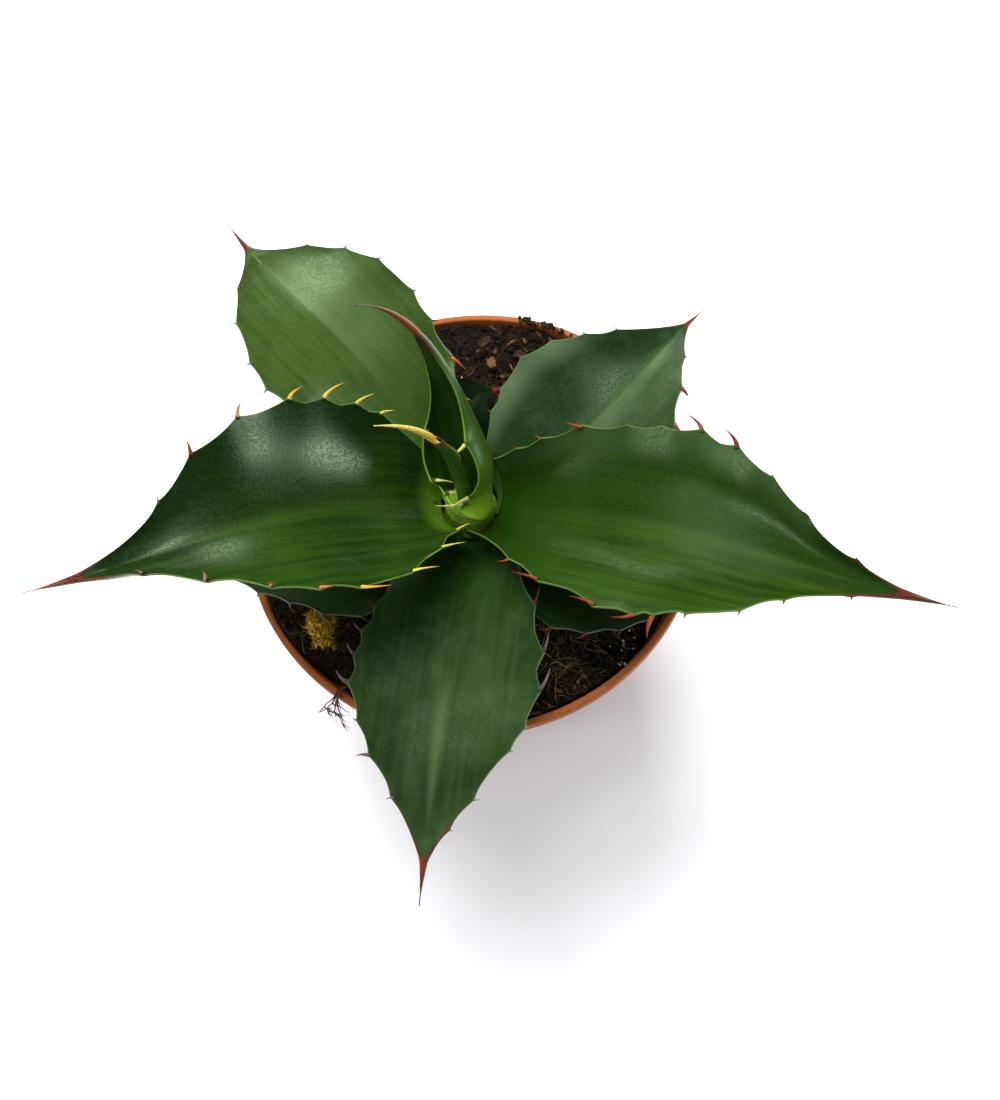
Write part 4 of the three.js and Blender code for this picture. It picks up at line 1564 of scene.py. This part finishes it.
@dataclass
class PottingMix:
    """The filling of peat, with crumbs, fibres and white grains on top, in millimetres."""

    pot: Pot
    level: float = 97.6
    tilt: float = 0.045
    bump: float = 0.9
    gap: float = 0.3
    spokes: int = 240
    rings: int = 80
    crumbs: int = 3200
    chips: int = 900
    strands: int = 3000
    grains: int = 26
    heaps: tuple[Quad, ...] = (
        (-64.0, -26.0, 8.5, 22.0), (4.0, 66.0, 3.6, 26.0), (34.0, 60.0, 3.4, 9.0),
    )
    slack: float = 2.0

    ROUGHNESS = ((0.9, 0.28), (0.55, 0.75), (0.3, 1.9))
    TANGLE_SPOT = (-52.0, -27.0, 3.2, 3.6)
    GRAIN_SPOT = (38.3, -53.5, 3.2, 3.2)

    def height(self, x: float, y: float) -> float:
        """Returns the height of the settled mix at x, y.

        Args:
            x: The distance to the right of the axis.
            y: The distance behind the axis.

        Returns:
            The height.
        """
        waves = sin(x * 0.21 + 1.3) * cos(y * 0.17) + 0.6 * sin(y * 0.33 + x * 0.11)
        mound = 3.2 * exp(-(x * x + y * y) / 900)
        piled = sum(h * exp(-((x - a) ** 2 + (y - b) ** 2) / (r * r)) for a, b, h, r in self.heaps)
        return self.level + self.tilt * y + self.bump * waves + mound + piled

    def surface(self, x: float, y: float) -> float:
        """Returns the height with the roughness of the crumbled top.

        Args:
            x: The distance to the right of the axis.
            y: The distance behind the axis.

        Returns:
            The height.
        """
        place = Vector((x, y, 0.0))
        rough = sum(share * noise.noise(place * scale) for share, scale in self.ROUGHNESS)
        return self.height(x, y) + rough

    def ruddy(self, x: float, y: float) -> float:
        """Returns how red-brown the mix is at x, y: most by the left rim."""
        return smooth(42.0, 60.0, -x - 0.25 * y)

    def reach(self, turn: float) -> float:
        """Returns the radius that the mix fills at its top in a direction in radians.

        Args:
            turn: The direction.

        Returns:
            The radius.
        """
        nominal = self.pot.inner_radius(self.level) - self.gap
        edge = self.height(nominal * cos(turn), nominal * sin(turn))
        return self.pot.inner_radius(edge - self.slack) - self.gap

    def build(self) -> None:
        """Builds the filling and everything that lies loose on it."""
        peat = PEAT.build("peat")
        declare(self.filling(peat), "potting_mix", "potting_mix")
        draw = random.Random(11)
        declare(self.crumb_layer(draw, peat), "potting_mix")
        declare(self.strand_layer(draw), "potting_mix")
        declare(self.grain_layer(draw), "potting_mix")

    def filling(self, material: Material) -> Piece:
        """Spins the body of the mix and roughens its top.

        Args:
            material: The finish of the peat.

        Returns:
            The piece.
        """
        low = self.pot.floor + self.gap
        base = self.pot.inner_radius(low)
        section = [(0.0, low), (base - 1.6, low), (self.pot.inner_radius(low + 2.0) - self.gap, low + 2.0)]
        nominal = self.pot.inner_radius(self.level) - self.gap
        section += [(nominal * i / self.rings, self.level) for i in range(self.rings, -1, -1)]
        bm = spun(section, self.spokes)
        tint = bm.verts.layers.float.new("tint")
        bmesh.ops.remove_doubles(bm, verts=bm.verts, dist=1e-4)
        for vertex in bm.verts:
            x, y, z = vertex.co
            vertex[tint] = 0.16 + 0.2 * noise.noise(Vector((x, y, z)) * 0.2) + 0.2 * self.ruddy(x, y)
            if z > low + 3.0:
                stretch = self.reach(atan2(y, x)) / nominal
                vertex.co.x, vertex.co.y = x * stretch, y * stretch
                vertex.co.z = self.surface(vertex.co.x, vertex.co.y)
        close_up(bm)
        return as_piece(bm, "potting_mix_bed", material)

    def spot(self, draw: random.Random, inner: float = 12.0) -> Pair:
        """Returns a random place on the mix, evenly spread.

        Args:
            draw: The source of random numbers.
            inner: The radius that stays free about the stem.

        Returns:
            Its x and y.
        """
        turn = draw.uniform(0.0, tau)
        radius = sqrt(draw.uniform(inner**2, (self.reach(turn) - 0.3) ** 2))
        return radius * cos(turn), radius * sin(turn)

    @staticmethod
    def near(draw: random.Random, spot: Quad) -> Pair:
        """Returns a random place about a spot of x, y and its spread along each."""
        x, y, wide, deep = spot
        return x + draw.gauss(0.0, wide), y + draw.gauss(0.0, deep)

    def crumb_layer(self, draw: random.Random, material: Material) -> Piece:
        """Scatters crumbs of peat and flat chips of wood.

        Args:
            draw: The source of random numbers.
            material: The finish of the peat.

        Returns:
            The piece.
        """
        heap = Heap()
        lumps = [lump_template(f"crumb_{i}", i, 1) for i in range(6)]
        for index in range(self.crumbs + self.chips):
            x, y = self.spot(draw)
            size = 0.5 * draw.uniform(0.6, 2.1) ** 1.5
            shape = Vector((size, size * draw.uniform(0.5, 0.9), size * draw.uniform(0.4, 0.8)))
            tint = draw.uniform(0.0, 0.55) ** 1.2 + 0.22 * self.ruddy(x, y)
            if index >= self.crumbs:
                shape = Vector((draw.uniform(0.9, 2.6), draw.uniform(0.35, 0.9), draw.uniform(0.2, 0.45)))
                tint = draw.uniform(0.2, 0.95) ** 1.3
            turn = tumbled(draw, 0.6)
            lift = self.surface(x, y) + 0.25 * shape.z + draw.uniform(0.0, 0.5)
            heap.stamp(draw.choice(lumps), Vector((x, y, lift)), turn, shape, tint)
        return heap.piece("peat_crumbs", material, rounded=False)

    def strand_layer(self, draw: random.Random) -> Piece:
        """Strews fine fibres and rootlets over the mix.

        Args:
            draw: The source of random numbers.

        Returns:
            The piece.
        """
        heap = Heap()
        rod = rod_template("strand", 4, 5, 0.35)
        for index in range(self.strands):
            x, y = self.spot(draw)
            tangle = index % 12 == 0
            if tangle:
                x, y = self.near(draw, self.TANGLE_SPOT)
            front_right = smooth(0.0, 40.0, x - y - 30.0)
            turn = draw.uniform(0.0, tau)
            length = draw.uniform(3.0, 11.0) * (1.4 if index % 9 == 0 else 1.0)
            bow = draw.uniform(-0.45, 0.45) * length
            rise = draw.uniform(0.2, 1.8)
            along = Vector((cos(turn), sin(turn), 0.0))
            aside = Vector((-along.y, along.x, 0.0))
            points = []
            for k in range(4):
                share = k / 3 - 0.5
                sway = bow * (0.25 - share * share) * 2.0
                spot = Vector((x, y, 0.0)) + along * (share * length) + aside * sway
                spot += aside * draw.uniform(-0.7, 0.7)
                limit = self.reach(atan2(spot.y, spot.x)) - 0.3
                if spot.length > limit:
                    spot *= limit / spot.length
                arch = (1.0 - 4.0 * share * share) * draw.uniform(0.4, 1.0)
                spot.z = self.surface(spot.x, spot.y) + 0.15 + rise * arch
                points.append(spot * MM)
            thick = draw.uniform(0.08, 0.2) * MM
            tint = 0.45 * front_right + draw.uniform(0.05, 0.62) ** 1.2 + (0.35 if tangle else 0.0)
            heap.add(bent(rod, lambda s, p=points: through(p, s), thick, thick, Vector((0, 0, 1))), tint)
        return heap.piece("peat_fibres", FIBRE.build("peat_fibre"))

    def grain_layer(self, draw: random.Random) -> Piece:
        """Drops a few white grains, most of them by the front rim.

        Args:
            draw: The source of random numbers.

        Returns:
            The piece.
        """
        heap = Heap()
        lumps = [lump_template(f"grain_{i}", i + 20, 2) for i in range(3)]
        for index in range(self.grains):
            x, y = self.near(draw, self.GRAIN_SPOT) if index % 2 else self.spot(draw)
            size = draw.uniform(0.2, 0.5)
            turn = Euler((draw.uniform(0.0, 3.0), draw.uniform(0.0, 3.0), 0.0))
            spot = Vector((x, y, self.surface(x, y) + 0.6 * size + 0.3))
            heap.stamp(draw.choice(lumps), spot, turn, Vector((size, size, size)), draw.uniform(0.3, 1.0))
        return heap.piece("perlite_grains", PERLITE.build("perlite"))


@dataclass
class LooseBits:
    """Bark chips, the moss tuft, root fibres over the rim and crumbs on it, in millimetres."""

    mix: PottingMix
    bark: tuple[tuple[float, float, float, float, float, float], ...] = (
        (76, 64, 7, 4.5, 2.4, 20), (73, 56, 6, 4, 2.2, 100), (64, 61, 7, 4.5, 2.4, 150),
        (66, 49, 6, 4, 2, 70),
        (98, 60, 11, 6, 2.6, 35), (217, 60, 8, 6, 3, 40), (330, 60, 9, 5, 2.4, 100), (292, 60, 6, 3, 1.8, 15),
    )
    bark_tint: tuple[float, ...] = (0.36, 0.74, 0.30, 0.44, 0.3, 0.22, 0.3, 0.4)
    bark_scale: float = 0.66
    moss_direction: float = 208.5
    moss_distance: float = 62.0
    moss_radius: float = 8.0
    rim_direction: float = 60.0
    fibre_direction: float = 226.0
    moss_flakes: int = 620
    fibres: int = 4
    hairs: int = 6
    rim_crumb_count: int = 46

    def build(self) -> None:
        """Builds every loose piece."""
        bark = BARK.build("bark")
        for index, chip in enumerate(self.bark):
            declare(self.bark_chip(index, chip, bark), "bark", f"bark_chip_{index + 1}")
        declare(self.moss_tuft(random.Random(5)), "moss", "moss_tuft")
        declare(self.root_fibres(random.Random(9)), "root_fibre", "root_fibres")
        declare(self.rim_crumbs(random.Random(3)), "potting_mix", "mix_crumbs_on_rim")

    def polar(self, direction: float, distance: float) -> Pair:
        """Returns x and y at a direction in degrees and a distance from the axis."""
        turn = radians(direction)
        return distance * cos(turn), distance * sin(turn)

    def bark_chip(self, index: int, chip: tuple[float, ...], material: Material) -> Piece:
        """Builds one split and weathered flake of bark.

        Args:
            index: Which chip it is, which also seeds its shape.
            chip: Its direction, distance, length, width, thickness and turn.
            material: The bark finish.

        Returns:
            The piece.
        """
        direction, distance, length, width, thickness, turn = chip
        length *= self.bark_scale
        width *= self.bark_scale
        x, y = self.polar(direction, distance)
        bm = bmesh.new()
        tint = bm.verts.layers.float.new("tint")
        bmesh.ops.create_cube(bm, size=1.0)
        bmesh.ops.subdivide_edges(bm, edges=bm.edges, cuts=7, use_grid_fill=True)
        seed = Vector((index * 5.3, index * 1.7, 0.0))
        for vertex in bm.verts:
            a, b, c = vertex.co
            end = 1.0 - 0.5 * (2 * a) ** 2 * (0.6 + 0.4 * noise.noise(seed + vertex.co * 3))
            layer = 0.12 * sin(c * 16.0 + 3.0 * a)
            jag = noise.noise(seed + vertex.co * 5.0)
            vertex.co = Vector((
                a * length * (1.0 + 0.3 * jag),
                b * (width * end) * (1.0 + layer + 0.4 * jag),
                c * thickness * (0.4 + 0.6 * end) + 0.6 * noise.noise(seed + Vector((a, b, 0.0)) * 7.0),
            ))
            vertex[tint] = self.bark_tint[index] + 0.15 * jag
        bmesh.ops.rotate(bm, verts=bm.verts, matrix=Matrix.Rotation(radians(turn), 3, "Z"))
        lift = self.mix.height(x, y) + thickness * 0.1
        bmesh.ops.translate(bm, verts=bm.verts, vec=(x, y, lift))
        close_up(bm)
        return as_piece(bm, f"bark_flake_{index + 1}", material)

    def moss_tuft(self, draw: random.Random) -> Piece:
        """Builds a tuft of dry golden moss from flakes and strands.

        Args:
            draw: The source of random numbers.

        Returns:
            The piece.
        """
        heap = Heap()
        lumps = [lump_template(f"moss_{i}", i + 40, 1) for i in range(4)]
        rod = rod_template("moss_strand", 4, 4, 0.3)
        cx, cy = self.polar(self.moss_direction, self.moss_distance)
        for index in range(self.moss_flakes):
            turn = draw.uniform(0.0, tau)
            ragged = 0.8 + 0.6 * noise.noise(Vector((2.0 * cos(turn), 2.0 * sin(turn), 4.0)))
            reach = self.moss_radius * ragged * sqrt(draw.uniform(0.0, 1.0))
            x = cx + 0.66 * reach * cos(turn)
            y = cy + 1.15 * reach * sin(turn)
            crown = 3.4 * (1.0 - (reach / self.moss_radius) ** 2) * draw.uniform(0.3, 1.0)
            spot = Vector((x, y, self.mix.surface(x, y) + 0.3 + crown))
            size = Vector((draw.uniform(0.6, 1.5), draw.uniform(0.35, 0.8), draw.uniform(0.15, 0.35)))
            spin = tumbled(draw, 1.0)
            tint = draw.uniform(0.05, 0.95) * (0.5 + 0.5 * min(max(crown, 0.0) / 2.0, 1.0))
            if index % 4:
                heap.stamp(draw.choice(lumps), spot, spin, size, tint)
                continue
            lean = Vector((draw.gauss(0, 1), draw.gauss(0, 1), draw.uniform(0.2, 1.2))).normalized()
            curl = Vector((draw.gauss(0, 1), draw.gauss(0, 1), 0.0))
            points = [(spot + lean * (2.6 * k / 3) + curl * (0.35 * (k / 3) ** 2)) * MM for k in range(4)]
            thick = draw.uniform(0.10, 0.2) * MM
            strand = bent(rod, lambda s, p=points: through(p, s), thick, thick, Vector((0.3, 0.2, 1)))
            heap.add(strand, tint + 0.1)
        return heap.piece("moss_tuft_flakes", MOSS.build("dry_moss"), rounded=False)

    def root_fibres(self, draw: random.Random) -> Piece:
        """Builds the fibres that lie over the rim, with fine side hairs.

        Args:
            draw: The source of random numbers.

        Returns:
            The piece.
        """
        heap = Heap()
        rod = rod_template("root", 6, 22, 0.4)
        hair = rod_template("root_hair", 4, 6, 0.25)
        pot = self.mix.pot
        turn = radians(self.fibre_direction)
        out = Vector((cos(turn), sin(turn), 0.0))
        side = Vector((-out.y, out.x, 0.0))
        lip = pot.height + 0.5 + 0.7
        inner = pot.rim_radius - pot.lip_width
        outer = pot.rim_radius + 1.5
        for index in range(self.fibres):
            k = index - 1.5
            hang = 13.0 * (0.7 + 0.3 * cos(index * 2.4))
            route = (
                (inner - 9.0, 0.4 * k, 93.4), (inner - 5.4, 0.4 * k, 98.4), (inner - 1.0, 0.3 * k, lip + 0.3),
                (pot.rim_radius - 0.4, 0.35 * k, lip + 0.3), (outer + 0.6, 0.8 * k, lip - 1.5),
                (outer + 2.8, 2.4 * k, lip - 0.5 * hang),
                (outer + 4.0 * (0.6 + 0.5 * (index % 2)), 2.4 * k + 0.8, lip - hang),
            )
            points = [(out * r + side * s + Vector((0, 0, z))) for r, s, z in route]
            path = self.wavering(points, draw)
            heap.add(bent(rod, path, 0.42 * MM, 0.36 * MM, side), draw.uniform(0.1, 0.4))
            for _ in range(self.hairs):
                start = draw.uniform(0.45, 0.98)
                foot = path(start) / MM
                lean = (side * draw.uniform(-0.2, 1.0) + out * draw.uniform(-0.1, 0.4)).normalized()
                droop = Vector((0.0, 0.0, -1.0))
                reach = draw.uniform(2.0, 6.0)
                course = [
                    foot + lean * (reach * s) + droop * (reach * s * draw.uniform(0.6, 1.5))
                    for s in (0, 0.33, 0.66, 1)
                ]
                twig = bent(hair, self.wavering(course, draw), 0.2 * MM, 0.2 * MM, side)
                heap.add(twig, draw.uniform(0.1, 0.7))
        return heap.piece("root_fibre_bundle", ROOTLET.build("rootlet"))

    @staticmethod
    def wavering(points: Sequence[Vector], draw: random.Random) -> Path:
        """Returns a path through points with a small random waver, in metres.

        Args:
            points: The points, in millimetres.
            draw: The source of random numbers.

        Returns:
            The path.
        """
        phase = Vector((draw.uniform(0, 50), draw.uniform(0, 50), 0.0))
        swing = 0.5 * smooth(1.0, 8.0, (points[-1] - points[0]).length)

        def path(s: float) -> Vector:
            """Returns the place at s."""
            shake = noise.noise_vector(phase + Vector((0.0, 0.0, s * 7.0))) * (swing * smooth(0.3, 0.6, s))
            return (through(points, s) + shake) * MM

        return path

    def rim_crumbs(self, draw: random.Random) -> Piece:
        """Builds the crumbs of mix that lie on the rim at the back.

        Args:
            draw: The source of random numbers.

        Returns:
            The piece.
        """
        heap = Heap()
        lumps = [lump_template(f"rim_crumb_{i}", i + 60, 1) for i in range(4)]
        pot = self.mix.pot
        middle = pot.rim_radius - pot.lip_width / 2
        for _ in range(self.rim_crumb_count):
            x, y = self.polar(self.rim_direction + draw.gauss(0.0, 3.4), middle + draw.uniform(-1.3, 0.7))
            size = draw.uniform(0.3, 0.85)
            shape = Vector((size * draw.uniform(1.0, 1.9), size, size * 0.8))
            spot = Vector((x, y, pot.height + size * draw.uniform(0.7, 1.6)))
            spin = tumbled(draw, 0.5)
            heap.stamp(draw.choice(lumps), spot, spin, shape, draw.uniform(0.1, 0.6))
        return heap.piece("rim_crumb_pile", bpy.data.materials["peat"], rounded=False)


# ---------------------------------------------------------------- studio


@dataclass
class Studio:
    """Floor, soft lights and the camera, in millimetres and degrees."""

    target: Triple = (6.7, -15.9, 105.0)
    elevation: float = 68.0
    distance: float = 400.0
    roll: float = -11.24
    lens: float = 40.32
    floor_size: float = 4.0
    sky: float = 0.62
    lamps: tuple[tuple[str, Triple, Pair, float, bool], ...] = (
        ("window", (-0.02, 0.66, 1.20), (0.80, 0.80), 27.0, False),
        ("overhead", (-0.08, 0.03, 1.30), (0.26, 0.26), 2.0, True),
        ("left", (-1.04, -0.10, 0.60), (0.32, 0.32), 2.4, True),
        ("right", (1.08, -0.06, 0.50), (0.40, 0.34), 4.2, True),
        ("back", (-0.08, 1.06, 0.62), (0.30, 0.25), 1.2, True),
        ("strip", (-0.20, 0.60, 1.10), (0.50, 0.12), 0.8, True),
        ("spot", (-0.26, 0.25, 1.22), (0.20, 0.30), 1.5, True),
    )

    def build(self) -> None:
        """Sets up the floor, the lights, the sky and the camera."""
        self.lay_floor()
        for lamp in self.lamps:
            self.hang_light(*lamp)
        self.set_sky()
        self.set_camera()
        bpy.context.scene.view_settings.view_transform = "Standard"

    def lay_floor(self) -> None:
        """Lays the pale floor that the pot stands on."""
        bm = bmesh.new()
        bmesh.ops.create_grid(bm, x_segments=1, y_segments=1, size=self.floor_size / 2)
        as_piece(bm, "floor", FloorFinish().build("pale_floor"), rounded=False)

    def hang_light(self, name: str, place: Triple, size: Pair, watts: float, mirrored: bool) -> None:
        """Hangs a soft light that faces the plant.

        Args:
            name: The light's name.
            place: Where it hangs, in metres.
            size: Its width and its depth in metres.
            watts: Its power.
            mirrored: Whether glossy surfaces reflect it.
        """
        light = bpy.data.lights.new(name, "AREA")
        light.shape = "RECTANGLE"
        light.size, light.size_y = size
        light.energy = watts
        lamp = put(name, light)
        lamp.location = place
        lamp.visible_glossy = mirrored
        aim = Vector(self.target) * MM - lamp.location
        lamp.rotation_euler = aim.to_track_quat("-Z", "Y").to_euler()

    def set_sky(self) -> None:
        """Fills the room with even white light that leaves no reflection."""
        world = bpy.data.worlds.new("studio")
        world.use_nodes = True
        backdrop = world.node_tree.nodes["Background"]
        backdrop.inputs["Color"].default_value = (1.0, 1.0, 1.0, 1.0)
        backdrop.inputs["Strength"].default_value = self.sky
        world.cycles_visibility.glossy = False
        bpy.context.scene.world = world

    def set_camera(self) -> None:
        """Places the camera at the photographed angle."""
        tilt = radians(self.elevation)
        turn = radians(self.roll)
        right = Vector((1.0, 0.0, 0.0))
        up = Vector((0.0, sin(tilt), cos(tilt)))
        back = Vector((0.0, -cos(tilt), sin(tilt)))
        across = right * cos(turn) + up * sin(turn)
        upward = up * cos(turn) - right * sin(turn)
        data = bpy.data.cameras.new("camera")
        data.lens = self.lens
        data.clip_start = 0.01
        camera = put("camera", data)
        place = (Vector(self.target) + back * self.distance) * MM
        camera.matrix_world = Matrix.Translation(place) @ Matrix((across, upward, back)).transposed().to_4x4()
        bpy.context.scene.camera = camera


def main() -> None:
    """Builds the object, then the studio."""
    logging.basicConfig(level=logging.INFO, format="%(name)s: %(message)s", stream=sys.stdout)
    noise.seed_set(NOISE_SEED)
    pot = Pot()
    mixture = PottingMix(pot)
    pot.build()
    mixture.build()
    LooseBits(mixture).build()
    Rosette().build()
    Studio().build()


if __name__ == "__main__":
    main()
